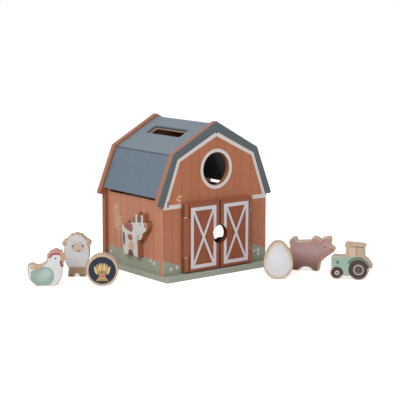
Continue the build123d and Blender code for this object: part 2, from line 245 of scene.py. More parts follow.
class Wire:
    """A value in a shader tree. A sum, product or comparison of wires adds its node to the tree."""

    def __init__(self, tree: "Tree", socket: Socket) -> None:
        """Keeps the tree and the socket that gives the value."""
        self.tree = tree
        self.socket = socket

    def step(self, kind: str, *others: "Number", clamp: bool = False) -> "Wire":
        """One math step of a kind on this number and up to two others."""
        return self.tree.math(kind, self, *others, clamp=clamp)

    def __add__(self, other: "Number") -> "Wire":
        """Sum."""
        return self.step("ADD", other)

    def __sub__(self, other: "Number") -> "Wire":
        """Difference."""
        return self.step("SUBTRACT", other)

    def __rsub__(self, other: "Number") -> "Wire":
        """Plain number less this one."""
        return self.tree.math("SUBTRACT", other, self)

    def __mul__(self, other: "Number") -> "Wire":
        """Product, and of two masks where both hold."""
        return self.step("MULTIPLY", other)

    def __truediv__(self, other: "Number") -> "Wire":
        """Quotient."""
        return self.step("DIVIDE", other)

    def __or__(self, other: "Wire") -> "Wire":
        """Larger of two numbers, and of two masks where either holds."""
        return self.step("MAXIMUM", other)

    def __abs__(self) -> "Wire":
        """Number without its sign."""
        return self.step("ABSOLUTE")

    def ease(self, low: float, high: float, start: float = 0.0, end: float = 1.0) -> "Wire":
        """Smooth step on this number.

        Args:
            low: Where the step begins.
            high: Where the step is over.
            start: Result before the step.
            end: Result after the step.

        Returns:
            The eased number.
        """
        node = self.tree.add("ShaderNodeMapRange", interpolation_type="SMOOTHSTEP")
        return self.tree.fill(node, self, low, high, start, end)

    def under(self, edge: float, soft: float = 0.12) -> "Wire":
        """Mask that is 1 where this number is under an edge."""
        return self.ease(edge - soft, edge + soft, 1.0, 0.0)

    def over(self, edge: float, soft: float = 0.12) -> "Wire":
        """Mask that is 1 where this number is over an edge."""
        return self.ease(edge - soft, edge + soft)

    def vector(self, kind: str, other: object = None, scale: "Number" = None) -> "Wire":
        """One vector step on this vector.

        Args:
            kind: Blender's name of the operation.
            other: Second vector, where the step has one.
            scale: Factor of a SCALE step.

        Returns:
            A vector, or a number from LENGTH and DOT_PRODUCT.
        """
        node = self.tree.add("ShaderNodeVectorMath", operation=kind)
        self.tree.fill(node, self, other)
        if scale is not None:
            self.tree.feed(node.inputs["Scale"], scale)
        return Wire(self.tree, node.outputs["Value" if kind in ("LENGTH", "DOT_PRODUCT") else "Vector"])

    def split(self) -> list["Wire"]:
        """X, Y and Z of this vector."""
        node = self.tree.add("ShaderNodeSeparateXYZ")
        self.tree.feed(node.inputs[0], self)
        return [Wire(self.tree, socket) for socket in node.outputs]

    def noise(self, scale: float, detail: float = 2.0, rough: float = 0.5) -> "Wire":
        """Cloudy noise at this place.

        Args:
            scale: Size of the place's unit in the noise.
            detail: Octaves.
            rough: Weight of each finer octave.

        Returns:
            A number from 0 to 1.
        """
        node = self.tree.add("ShaderNodeTexNoise")
        for name, value in (("Vector", self), ("Scale", scale), ("Detail", detail), ("Roughness", rough)):
            self.tree.feed(node.inputs[name], value)
        return Wire(self.tree, node.outputs["Fac"])


Number = Union[float, Wire]
Ink = Union[Paint, Wire]


class Tree:
    """Short ways to add linked nodes to the tree of a material, a world or a group."""

    def __init__(self, tree: bpy.types.NodeTree) -> None:
        """Keeps the tree that the nodes go into."""
        self.tree = tree

    @classmethod
    def of(cls, owner: Union[bpy.types.Material, bpy.types.World]) -> "Tree":
        """Emptied tree of a material or world."""
        owner.use_nodes = True
        owner.node_tree.nodes.clear()
        return cls(owner.node_tree)

    def add(self, kind: str, **settings: object) -> bpy.types.Node:
        """Adds a node of a kind and sets its own settings.

        Args:
            kind: Blender's name of the node type.
            **settings: Attributes of the node.

        Returns:
            The node.
        """
        node = self.tree.nodes.new(kind)
        for name, value in settings.items():
            setattr(node, name, value)
        return node

    def wire(self, kind: str, output: str, **settings: object) -> Wire:
        """Adds a node of a kind and gives its named output."""
        return Wire(self, self.add(kind, **settings).outputs[output])

    def feed(self, socket: Socket, value: object) -> None:
        """Links an input to a wire, or sets it to a plain value, and a colour input to a paint."""
        if isinstance(value, Wire):
            self.tree.links.new(value.socket, socket)
        elif value is not None:
            socket.default_value = (*linear(value), 1.0) if socket.type == "RGBA" else value

    def fill(self, node: bpy.types.Node, *values: object) -> Wire:
        """Feeds a node's inputs in their order and gives its first output."""
        for socket, value in zip(node.inputs, values):
            self.feed(socket, value)
        return Wire(self, node.outputs[0])

    def end(self, kind: str, node: bpy.types.Node) -> None:
        """Adds the output node of a kind, with a node's shader as its surface."""
        self.tree.links.new(node.outputs[0], self.add(kind).inputs["Surface"])

    def math(self, kind: str, *values: Number, clamp: bool = False) -> Wire:
        """One math step of a kind on up to three numbers, kept within 0 and 1 where clamped."""
        return self.fill(self.add("ShaderNodeMath", operation=kind, use_clamp=clamp), *values)

    def join(self, x: Number, y: Number) -> Wire:
        """A flat vector from two numbers."""
        return self.fill(self.add("ShaderNodeCombineXYZ"), x, y)

    def mix(self, mask: Wire, under: Ink, over: Ink) -> Wire:
        """Lays one colour over another.

        Args:
            mask: 0 where the under colour shows, 1 where the over colour does.
            under: Colour that is there.
            over: Colour that is laid on it.

        Returns:
            The mixed colour.
        """
        node = self.add("ShaderNodeMix", data_type="RGBA")
        colours = [socket for socket in node.inputs if socket.type == "RGBA"]
        for socket, value in zip((node.inputs[0], *colours), (mask, under, over)):
            self.feed(socket, value)
        return Wire(self, next(socket for socket in node.outputs if socket.type == "RGBA"))

    def lay(self, colour: Ink, *layers: tuple[Wire, Ink]) -> Wire:
        """Lays colours over a first one in turn, each where its mask is 1."""
        return reduce(lambda under, layer: self.mix(layer[0], under, layer[1]), layers, colour)

    def tone(self, colour: Ink, factor: Wire) -> Wire:
        """A colour made lighter or darker by a factor."""
        node = self.add("ShaderNodeVectorMath", operation="SCALE")
        self.feed(node.inputs["Scale"], factor)
        return self.fill(node, colour if isinstance(colour, Wire) else linear(colour))

    def group(self, tree: bpy.types.NodeTree, **values: object) -> dict[str, Wire]:
        """Places a node group and feeds its inputs.

        Args:
            tree: The group.
            **values: Numbers, colours or wires for its inputs, by their names.

        Returns:
            The group's outputs by their names.
        """
        node = self.add("ShaderNodeGroup", node_tree=tree)
        for name, value in values.items():
            self.feed(node.inputs[name], value)
        return {socket.name: Wire(self, socket) for socket in node.outputs}


class Kind(Enum):
    """Socket types of a node group."""

    NUMBER = "NodeSocketFloat"
    VECTOR = "NodeSocketVector"
    COLOUR = "NodeSocketColor"

    @classmethod
    def of(cls, label: str) -> "Kind":
        """Type of the socket with a label, which means the same in every group."""
        if label in ("Vector", "Stretch", "Centre", "Radii", "Start", "End"):
            return cls.VECTOR
        return cls.COLOUR if label == "Colour" else cls.NUMBER


class Effect:
    """A shader effect that several finishes share, built once as a node group."""

    def __init__(self, name: str, takes: str, gives: str) -> None:
        """Makes the empty group with its named inputs and outputs.

        Args:
            name: Name of the group.
            takes: Labels of its inputs, with a space between them.
            gives: Labels of its outputs.
        """
        self.group = bpy.data.node_groups.new(name, "ShaderNodeTree")
        for way, labels in (("INPUT", takes), ("OUTPUT", gives)):
            for label in labels.split():
                self.group.interface.new_socket(label, in_out=way, socket_type=Kind.of(label).value)
        self.tree = Tree(self.group)
        source = self.tree.add("NodeGroupInput").outputs
        self.wires = [Wire(self.tree, source[label]) for label in takes.split()]
        self.sink = self.tree.add("NodeGroupOutput").inputs

    def give(self, **results: Wire) -> bpy.types.NodeTree:
        """Feeds the group's outputs.

        Args:
            **results: A wire for each output.

        Returns:
            The finished group.
        """
        for label, value in results.items():
            self.tree.feed(self.sink[label], value)
        return self.group


class Effects:
    """The effects shared by the sorter's finishes. All lengths in them are millimetres."""

    def __init__(self) -> None:
        """Builds every group once."""
        self.grain = self._grain()
        self.coat = self._coat()
        self.planks = self._planks()
        self.shingles = self._shingles()
        self.meadow = self._meadow()
        self.spot = self._spot()
        self.stroke = self._stroke()

    @staticmethod
    def _grain() -> bpy.types.NodeTree:
        """Wood grain: slow bands and fine pores from noise stretched along the grain."""
        effect = Effect("wood_grain", "Vector Stretch", "Bands Pores")
        place, stretch = effect.wires
        along = place.vector("MULTIPLY", stretch)
        bands = along.noise(0.22, 3.0, 0.55)
        rings = (bands * 46.0).step("SINE")
        return effect.give(Bands=rings * 0.22 + bands, Pores=along.noise(2.4, 3.0, 0.7))

    @staticmethod
    def _coat() -> bpy.types.NodeTree:
        """Satin paint: faint clouds in its colour, faint roller stipple in its height and gloss."""
        effect = Effect("satin_coat", "Vector Colour Clouds", "Colour Roughness Height")
        place, colour, strength = effect.wires
        clouds = place.noise(0.06, 3.0, 0.6)
        stipple = place.noise(1.6, 2.0, 0.6)
        factor = (clouds - 0.5) * strength + ((stipple - 0.5) * 0.06 + 1.0)
        toned = effect.tree.tone(colour, factor)
        return effect.give(Colour=toned, Roughness=stipple * 0.16 + 0.46, Height=stipple)

    @staticmethod
    def _planks() -> bpy.types.NodeTree:
        """Printed planks: a thin line at every pitch, a hair line beside some and a tint per plank."""
        effect = Effect("printed_planks", "Across Up Pitch", "Line Tint Streaks")
        across, up, pitch = effect.wires
        count = across / pitch
        number = count.step("FLOOR")
        place = count.step("FRACT") * pitch
        drawn = effect.tree.join(across, up * 0.05).noise(0.4).ease(0.2, 0.5, 0.55, 1.0)
        joint = abs(place - 0.6).under(0.42, 0.16)
        hair = abs(place - 2.6).under(0.18, 0.14)
        hair_on = (number * (1.0 - GOLDEN)).step("FRACT").over(0.55, 0.02)
        tint = (number * GOLDEN).step("FRACT")
        streaks = effect.tree.join(across, up * 0.03).noise(0.9, 3.0, 0.65)
        return effect.give(Line=(joint | hair * hair_on * 0.5) * drawn, Tint=tint, Streaks=streaks)

    @staticmethod
    def _shingles() -> bpy.types.NodeTree:
        """Printed shingles: rows of round-ended scales, each row half a scale on from the last."""
        effect = Effect("printed_shingles", "Along Down Width", "Line Tint")
        along, down, width = effect.wires
        rows = down / (width * 0.72)
        row = rows.step("FLOOR")
        scales = along / width + row.step("PINGPONG", 1.0) * 0.5
        across = scales.step("FRACT") - 0.5
        bow = across * across * 2.6
        gap = abs(rows.step("FRACT") + bow - 0.92)
        side = 0.5 - abs(across)
        apart, turn, spread = HASH
        seed = row * apart + scales.step("FLOOR")
        tint = ((seed * turn).step("SINE") * spread).step("FRACT")
        return effect.give(Line=gap.under(0.07, 0.05) | side.under(0.035, 0.03) * 0.6, Tint=tint)

    @staticmethod
    def _meadow() -> bpy.types.NodeTree:
        """Printed grass: a mask under a swelling line with blade tips, and darker strokes within it."""
        effect = Effect("printed_meadow", "Across Up Height Swell", "Mask Blades")
        across, up, height, swell = effect.wires
        hills = effect.tree.join(across, 3.7).noise(0.03, 1.0)
        tips = effect.tree.join(across, 9.2).noise(0.55, 2.0, 0.6)
        wave = (across * (math.pi / HILL_MM)).step("SINE")
        top = tips * 1.8 + ((hills - 0.5) * 3.0 + (wave * swell + height))
        blades = effect.tree.join(up * 0.25 + across, up * 0.16).noise(0.8, 2.0, 0.6)
        return effect.give(Mask=(up - top).under(0.0, 1.6), Blades=blades)

    @staticmethod
    def _spot() -> bpy.types.NodeTree:
        """Printed spot: depth inside an ellipse turned by an angle, its edge slightly unsteady."""
        effect = Effect("ink_spot", "Vector Centre Radii Turn", "Depth")
        place, centre, radii, turn = effect.wires
        x, y, _ = place.vector("SUBTRACT", centre).split()
        cosine, sine = turn.step("COSINE"), turn.step("SINE")
        along = x * cosine + y * sine
        across = y * cosine - x * sine
        width, height, _ = radii.split()
        length = effect.tree.join(along / width, across / height).vector("LENGTH")
        depth = (1.0 - length) * width.step("MINIMUM", height)
        return effect.give(Depth=(place.noise(0.9, 1.0) - 0.5) * 0.3 + depth)

    @staticmethod
    def _stroke() -> bpy.types.NodeTree:
        """Round-ended line between two points: where the distance to it is under half its width."""
        effect = Effect("ink_stroke", "Vector Start End Width", "Mask")
        place, start, end, width = effect.wires
        run = end.vector("SUBTRACT", start)
        here = place.vector("SUBTRACT", start)
        share = here.vector("DOT_PRODUCT", run).step("DIVIDE", run.vector("DOT_PRODUCT", run), clamp=True)
        gap = here.vector("SUBTRACT", run.vector("SCALE", scale=share)).vector("LENGTH")
        return effect.give(Mask=(width * 0.5 - gap).ease(-0.1, 0.1))


class Mark:
    """A printed mark: a mask on a face and the colour that goes there."""

    colour: Paint

    def mask(self, effects: Effects, face: Wire) -> Wire:
        """Where the mark lies on a face, by the place on it in millimetres."""
        raise NotImplementedError

    def draw(self, effects: Effects, face: Wire, under: Ink) -> Wire:
        """Paints the mark over a colour."""
        return face.tree.mix(self.mask(effects, face), under, self.colour)


@dataclass(frozen=True)
class Spot(Mark):
    """A printed ellipse: centre, radii in millimetres, colour, turn in degrees and softness of its edge."""

    centre: Point
    radii: Point
    colour: Paint
    turn: float = 0.0
    soft: float = 0.1

    def mask(self, effects: Effects, face: Wire) -> Wire:
        """Where the place is inside the ellipse."""
        frame = {"Centre": (*self.centre, 0.0), "Radii": (*self.radii, 1.0), "Turn": math.radians(self.turn)}
        return face.tree.group(effects.spot, Vector=face, **frame)["Depth"].ease(-self.soft, self.soft)


@dataclass(frozen=True)
class Stroke(Mark):
    """A printed round-ended line through points, with one width and colour."""

    points: tuple[Point, ...]
    width: float
    colour: Paint

    def mask(self, effects: Effects, face: Wire) -> Wire:
        """Where the place is on any of the line's segments."""
        runs = [{"Start": (*a, 0.0), "End": (*b, 0.0)} for a, b in zip(self.points, self.points[1:])]
        group, stroke = face.tree.group, effects.stroke
        return reduce(or_, [group(stroke, Vector=face, Width=self.width, **run)["Mask"] for run in runs])


@dataclass(frozen=True)
class Ring(Mark):
    """A printed ring: centre, middle radius, width and colour."""

    centre: Point
    radius: float
    width: float
    colour: Paint

    def mask(self, effects: Effects, face: Wire) -> Wire:
        """Where the distance from the middle radius is under half the width."""
        reach = face.vector("SUBTRACT", (*self.centre, 0.0)).vector("LENGTH")
        return abs(reach - self.radius).under(self.width / 2)


@dataclass(frozen=True)
class Band(Mark):
    """Printed colour below a height, with the softness of its edge."""

    height: float
    colour: Paint
    soft: float

    def mask(self, effects: Effects, face: Wire) -> Wire:
        """Where the place is below the height."""
        return face.split()[1].under(self.height, self.soft)


@dataclass(frozen=True)
class Finish:
    """A finish of one Principled shader, whose colour, gloss and relief each kind of finish gives."""

    name: str
    relief_mm: float = 0.02
    specular: float = 0.35
    metal: float = 0.0

    def shade(self, effects: Effects, place: Wire) -> tuple[Wire, Wire, Wire]:
        """Colour, roughness and height from 0 to 1, at a place in millimetres."""
        raise NotImplementedError

    def build(self, effects: Effects) -> bpy.types.Material:
        """Makes the material, with its place read from the object's coordinates.

        Args:
            effects: Shared effects.

        Returns:
            The material.
        """
        material = bpy.data.materials.new(self.name)
        tree = Tree.of(material)
        place = tree.wire("ShaderNodeTexCoord", "Object").vector("SCALE", scale=MM)
        colour, rough, height = self.shade(effects, place)
        bump = tree.add("ShaderNodeBump")
        bump.inputs["Distance"].default_value = self.relief_mm / MM
        bump.inputs["Strength"].default_value = 1.0
        tree.feed(bump.inputs["Height"], height)
        shader = tree.add("ShaderNodeBsdfPrincipled")
        shader.inputs["Metallic"].default_value = self.metal
        shader.inputs["Specular IOR Level"].default_value = self.specular
        normal = Wire(tree, bump.outputs[0])
        for name, value in (("Base Color", colour), ("Roughness", rough), ("Normal", normal)):
            tree.feed(shader.inputs[name], value)
        tree.end("ShaderNodeOutputMaterial", shader)
        return material


@dataclass(frozen=True)
class Wood(Finish):
    """Clear-lacquered pale wood with grain stretched along one axis."""

    stretch: Triple = (1.0, 1.0, 0.12)
    light: Paint = Chip.WOOD
    deep: Paint = Chip.WOOD_DEEP

    def shade(self, effects: Effects, place: Wire) -> tuple[Wire, Wire, Wire]:
        """Bare wood: darker along the bands and in the pores."""
        grain = place.tree.group(effects.grain, Vector=place, Stretch=self.stretch)
        bands, pores = grain["Bands"].ease(0.3, 0.8), grain["Pores"].ease(0.55, 0.8) * 0.35
        colour = place.tree.lay(self.light, (bands, self.deep), (pores, self.deep))
        return colour, bands * 0.1 + 0.5, grain["Pores"]


@dataclass(frozen=True)
class CombPaint(Wood):
    """Bare wood whose sides carry the comb's paint: left of a line and above a height on the outline."""

    limits_mm: Point = (19.6, 37.2)
    right: Triple = (1.0, 0.0, 0.0)
    facing: Triple = (0.0, -1.0, 0.0)
    foot_mm: float = 0.0
    back_mm: float = 0.0
    skin_mm: float = 0.3
    soft_mm: float = 0.8

    def shade(self, effects: Effects, place: Wire) -> tuple[Wire, Wire, Wire]:
        """Bare wood with the comb's paint on it, but not on the block's back."""
        colour, rough, pores = super().shade(effects, place)
        across = place.vector("DOT_PRODUCT", self.right) - self.foot_mm
        front = place.vector("DOT_PRODUCT", self.facing).over(self.back_mm + self.skin_mm, 0.1)
        side, low = self.limits_mm
        comb = across.under(side, self.soft_mm) * place.split()[2].over(low, self.soft_mm)
        return place.tree.mix(comb * front, colour, Chip.COMB_SIDE), rough, pores


@dataclass(frozen=True)
class Steel(Finish):
    """Drawn steel rod, with fine rings around its axis."""

    metal: float = 1.0
    stretch: Triple = (0.4, 0.4, 6.0)

    def shade(self, effects: Effects, place: Wire) -> tuple[Wire, Wire, Wire]:
        """Bright metal, duller along the rings."""
        grain = place.tree.group(effects.grain, Vector=place, Stretch=self.stretch)
        colour = place.tree.mix(grain["Bands"], Chip.STEEL, Chip.STEEL_DEEP)
        return colour, grain["Pores"] * 0.2 + 0.22, grain["Pores"]


@dataclass(frozen=True)
class Coat(Finish):
    """Satin paint of one chip over wood. Printed finishes lay their own colours under the same satin."""

    chip: Paint = Chip.BASE
    clouds: float = 0.12
    stipple: float = 1.0

    def ink(self, effects: Effects, place: Wire) -> tuple[Ink, Number]:
        """Colour of the paint and depth of what is pressed into it."""
        return self.chip, 0.0

    def shade(self, effects: Effects, place: Wire) -> tuple[Wire, Wire, Wire]:
        """The paint under its satin."""
        colour, dent = self.ink(effects, place)
        coat = place.tree.group(effects.coat, Vector=place, Colour=colour, Clouds=self.clouds)
        return coat["Colour"], coat["Roughness"], coat["Height"] * self.stipple - dent


@dataclass(frozen=True)
class PostPaint(Coat):
    """Satin paint on a hinge post, with painted shade on the side turned away from the door."""

    chip: Paint = Chip.POST
    shade_mm: float = 55.6
    turn_mm: float = 1.4
    dark: float = 0.55

    def ink(self, effects: Effects, place: Wire) -> tuple[Ink, Number]:
        """Colour of the paint, streaked along the post, with painted shade on its outer side."""
        x, _, up = place.split()
        # Painted shade: darker beyond shade_mm from the middle, on the side away from the door.
        painted_shade = abs(x).ease(self.shade_mm, self.shade_mm + self.turn_mm, 1.0, self.dark)
        streak = place.tree.join(x, up * 0.05).noise(1.4)
        return place.tree.tone(self.chip, painted_shade * (streak * 0.2 + 0.9)), 0.0


@dataclass(frozen=True)
class RoofLine:
    """A gambrel line on the mirrored half of a gable: its apex, knee and foot, in millimetres."""

    apex: float = 200.0
    knee: Point = (69.9, 161.8)
    foot: Point = (95.4, 99.0)

    def runs(self) -> tuple[tuple[Point, Point], ...]:
        """The shallow and the steep run of the line."""
        return ((0.0, self.apex), self.knee), (self.knee, self.foot)

    def direction(self, steep: bool) -> tuple[float, float]:
        """Unit direction down one of the runs."""
        start, end = self.runs()[steep]
        length = math.dist(start, end)
        return (end[0] - start[0]) / length, (end[1] - start[1]) / length

    def depth(self, across: Wire, up: Wire) -> Wire:
        """Distance inside the line: the smaller of the distances to its two straight runs.

        Args:
            across: Distance from the middle of the gable.
            up: Height.

        Returns:
            The distance, positive inside.
        """
        gaps = []
        for steep, (start, _) in enumerate(self.runs()):
            right, down = self.direction(bool(steep))
            gaps.append(across * down + up * -right - (down * start[0] - right * start[1]))
        return gaps[0].step("MINIMUM", gaps[1])


class Side(Enum):
    """Which wall of the barn a board makes."""

    FRONT = "front_gable_wall"
    BACK = "back_gable_wall"
    LEFT = "left_side_wall"
    RIGHT = "right_side_wall"


@dataclass(frozen=True)
class WallPrint(Coat):
    """Printed planks and grass on a wall's outer face, paint on its rims and painted shade inside.

    The gables also carry the slate band, the white trim and bars and, in front, the window ring.
    """

    side: Side = Side.LEFT
    plank_mm: float = 14.3
    grass_mm: float = 24.0
    swell_mm: float = 2.0
    outline: RoofLine = RoofLine()
    trim_out: RoofLine = RoofLine(186.3, (63.0, 154.5), (85.4, 94.0))
    trim_in: RoofLine = RoofLine(180.2, (59.3, 151.3), (78.8, 98.2))
    bar_mm: Point = (92.0, 97.4)
    window_mm: Triple = (138.0, 21.8, 26.2)
    doorway_mm: Point = (44.0, 92.0)
    indoors_mm: Point = (82.0, 3.2)
    skin_mm: float = 0.06
    edge_mm: float = 0.84
    bore_mm: float = 0.5
    cut_mm: float = 2.0
    shade_mm: float = 0.7
    slant_mm: Point = (0.6, 108.0)
    tip_mm: Point = (1.2, 1.9)
    lighter_end_mm: Point = (20.0, 85.0)
    lighter_end: float = 1.07
    high_mm: Point = (50.0, 125.0)
    lining_mm: Point = (150.0, 160.0)
    marks: tuple[Mark, ...] = ()

    def trim(self, across: Wire, up: Wire, wall: Wire) -> Wire:
        """Lays the gable's trim, bars and slate band over its planks.

        Args:
            across: Distance from the middle of the gable.
            up: Height.
            wall: Colour of the planks and the grass.

        Returns:
            The printed colour.
        """
        tree = up.tree
        outer, inner = self.trim_out.depth(across, up), self.trim_in.depth(across, up)
        ruled = tree.join(across * 0.15, up).noise(1.1, 1.0).ease(0.4, 0.6, 0.0, 0.35)
        (low, high), (slope, reach), (sink, size) = self.bar_mm, self.slant_mm, self.tip_mm
        above = up.over(low)
        tip = across + abs(up - (self.trim_out.apex - sink))
        return tree.lay(
            wall,
            (inner.under(0.0) * above, Chip.TRIM),
            (above * up.under(high) * (up * slope + across).over(reach), Chip.TRIM),
            (outer.under(0.0) * above, tree.mix(ruled, Chip.SLATE, Chip.SLATE_DEEP)),
            (abs(inner).under(0.3, 0.25) * up.over(high) * 0.45, Chip.PLANK_LINE),
            (tip.under(size, 0.3), Chip.SLATE_DEEP),
        )

    def planks(self, effects: Effects, x: Wire, across: Wire, up: Wire) -> tuple[Wire, Wire, Wire]:
        """Printed planks with the grass along their foot.

        Args:
            effects: Shared effects.
            x: Place across the barn.
            across: Place along the wall.
            up: Height.

        Returns:
            The colour, the lines between the planks, where the grass leaves them open, and the streaks.
        """
        tree = up.tree
        planks = tree.group(effects.planks, Across=across, Up=up, Pitch=self.plank_mm)
        tint = (planks["Streaks"] - 0.5) * 0.22 + (planks["Tint"] * 0.08 + 0.95)
        if self.side in (Side.FRONT, Side.BACK):
            # The gables' planks grow lighter towards +x.
            tint = tint * x.ease(*self.lighter_end_mm, 1.0, self.lighter_end)
            low, high = tree.tone(Chip.PLANK, tint), tree.tone(Chip.PLANK_HIGH, tint)
            board = tree.mix(up.ease(*self.high_mm), low, high)
        else:
            # The left wall takes the lighter copy of the plank paint: painted light.
            board = tree.tone(Chip.PLANK_LEFT_LIT if self.side is Side.LEFT else Chip.PLANK, tint)
        board = tree.mix(planks["Line"] * 0.62, board, Chip.PLANK_LINE)
        meadow = tree.group(effects.meadow, Across=across, Up=up, Height=self.grass_mm, Swell=self.swell_mm)
        grass = tree.mix(meadow["Blades"].ease(0.42, 0.7, 0.0, 0.45), Chip.GRASS, Chip.GRASS_DEEP)
        lines = planks["Line"] * meadow["Mask"].under(0.5)
        return tree.mix(meadow["Mask"], board, grass), lines, planks["Streaks"]

    def window(self, x: Wire, up: Wire, board: Wire, rim: Wire) -> tuple[Wire, Wire]:
        """Lays the window's white ring on the board, and bare paint in the window and the doorway.

        Args:
            x: Place across the barn.
            up: Height.
            board: Colour of the printed face.
            rim: Colour of the board's rims.

        Returns:
            The two colours.
        """
        tree = up.tree
        middle, bore, ring = self.window_mm
        disc = tree.join(x, up - middle).vector("LENGTH")
        shade = disc.under(ring + self.shade_mm) * 0.5
        board = tree.lay(board, (shade, Chip.PLANK_LINE), (disc.under(ring), Chip.TRIM))
        wide, tall = (size + self.bore_mm for size in self.doorway_mm)
        doorway = abs(x).under(wide) * up.under(tall)
        return board, tree.mix(doorway | disc.under(bore + self.bore_mm), rim, Chip.BORE)

    def ink(self, effects: Effects, place: Wire) -> tuple[Ink, Number]:
        """Colour of the wall, by which way its surface lies, and depth of the lines between its planks."""
        tree = place.tree
        x, y, up = place.split()
        gable = self.side in (Side.FRONT, Side.BACK)
        sign = 1.0 if self.side in (Side.BACK, Side.RIGHT) else -1.0
        inner, outer = sorted(sign * corner[gable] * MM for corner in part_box(self.side.value))
        out = (y if gable else x) * sign
        face = out.over(outer - (self.edge_mm if gable else self.skin_mm), 0.03)
        inside = out.under(inner + self.skin_mm, 0.03)
        across = x if gable else y
        board, lines, streaks = self.planks(effects, x, across, up)
        rim = tree.tone(Chip.RIM if gable else Chip.BORE, streaks * 0.14 + 0.93)
        # Inside faces get painted shade; on the gables it gives way to the brown lining near the top.
        lining = Chip.INSIDE
        if gable:
            board = self.trim(abs(x), up, board)
            depth = self.outline.depth(abs(x), up)
            inside = inside * depth.over(self.indoors_mm[1]) * abs(x).under(self.indoors_mm[0])
            lining = tree.mix(up.ease(*self.lining_mm), Chip.INSIDE, Chip.ROOF_UNDER)
            # Below the eave a gable's rim takes a lighter copy of its paint: painted light.
            low = Chip.PLANK_LEFT_LIT if self.side is Side.FRONT else Chip.RIM_LOW_LIT
            rim = tree.mix(up.under(self.outline.foot[1], 0.5), rim, low)
        for mark in self.marks:
            board = mark.draw(effects, tree.join(across, up), board)
        if self.side is Side.FRONT:
            board, rim = self.window(x, up, board, rim)
        elif self.side is Side.BACK:
            rim = tree.mix(depth.over(self.cut_mm), rim, Chip.BORE)
        return tree.lay(rim, (face, board), (inside, lining)), lines * face


@dataclass(frozen=True)
class RoofPrint(Coat):
    """Printed shingles over slate-blue paint on the outer face of a roof panel, with painted sheen on the
    shallow panels and painted shade on the steep ones, and bare paint on the rest.
    """

    clouds: float = 0.10
    stipple: float = 0.7
    steep: bool = False
    scale_mm: float = 5.2
    line: RoofLine = RoofLine()
    inset_mm: float = 3.2
    seam_mm: float = 2.3
    depths_mm: Triple = (0.14, 3.6, 5.9)
    inside_lit_mm: Point = (27.0, 7.0)

    def ink(self, effects: Effects, place: Wire) -> tuple[Ink, Number]:
        """Shingles with a dark seam at the knee, then the slot's edge, its bare wood and the underside, which
        under the steep panels is painted shade turning to painted light towards the front.
        """
        tree = place.tree
        x, y, up = place.split()
        right, fall = self.line.direction(self.steep)
        down = abs(x) * right + up * fall
        scales = tree.group(effects.shingles, Along=y, Down=down, Width=self.scale_mm)
        knee = right * self.line.knee[0] + fall * self.line.knee[1]
        # The shallow panels take the lighter copy of the shingle paint, painted sheen; the steep ones the
        # darker copy, painted shade.
        shingle, under = Chip.ROOF_UPPER_SHEEN, Chip.ROOF_UNDER
        if self.steep:
            # Their underside is painted shade that turns to painted light towards the front.
            shingle, under = Chip.ROOF_LOWER_SHADE, tree.mix(y.ease(*self.inside_lit_mm), Chip.INSIDE, Chip.INSIDE_LIT)
        depth = self.line.depth(abs(x), up) - self.inset_mm
        edge, bare, below = self.depths_mm
        return tree.lay(
            tree.tone(shingle, scales["Tint"] * 0.06 + 0.97),
            (scales["Line"] * 0.5, Chip.ROOF_LINE),
            (abs(down - knee).under(self.seam_mm, 0.25) * 0.92, Chip.ROOF_SEAM),
            # The slot's sides: slate paint darkened with painted shade.
            (depth.over(edge, 0.06), Chip.SLOT),
            (depth.over(bare, 0.25), Chip.SLOT_BARE),
            (depth.over(below, 0.05), under),
        ), scales["Line"]


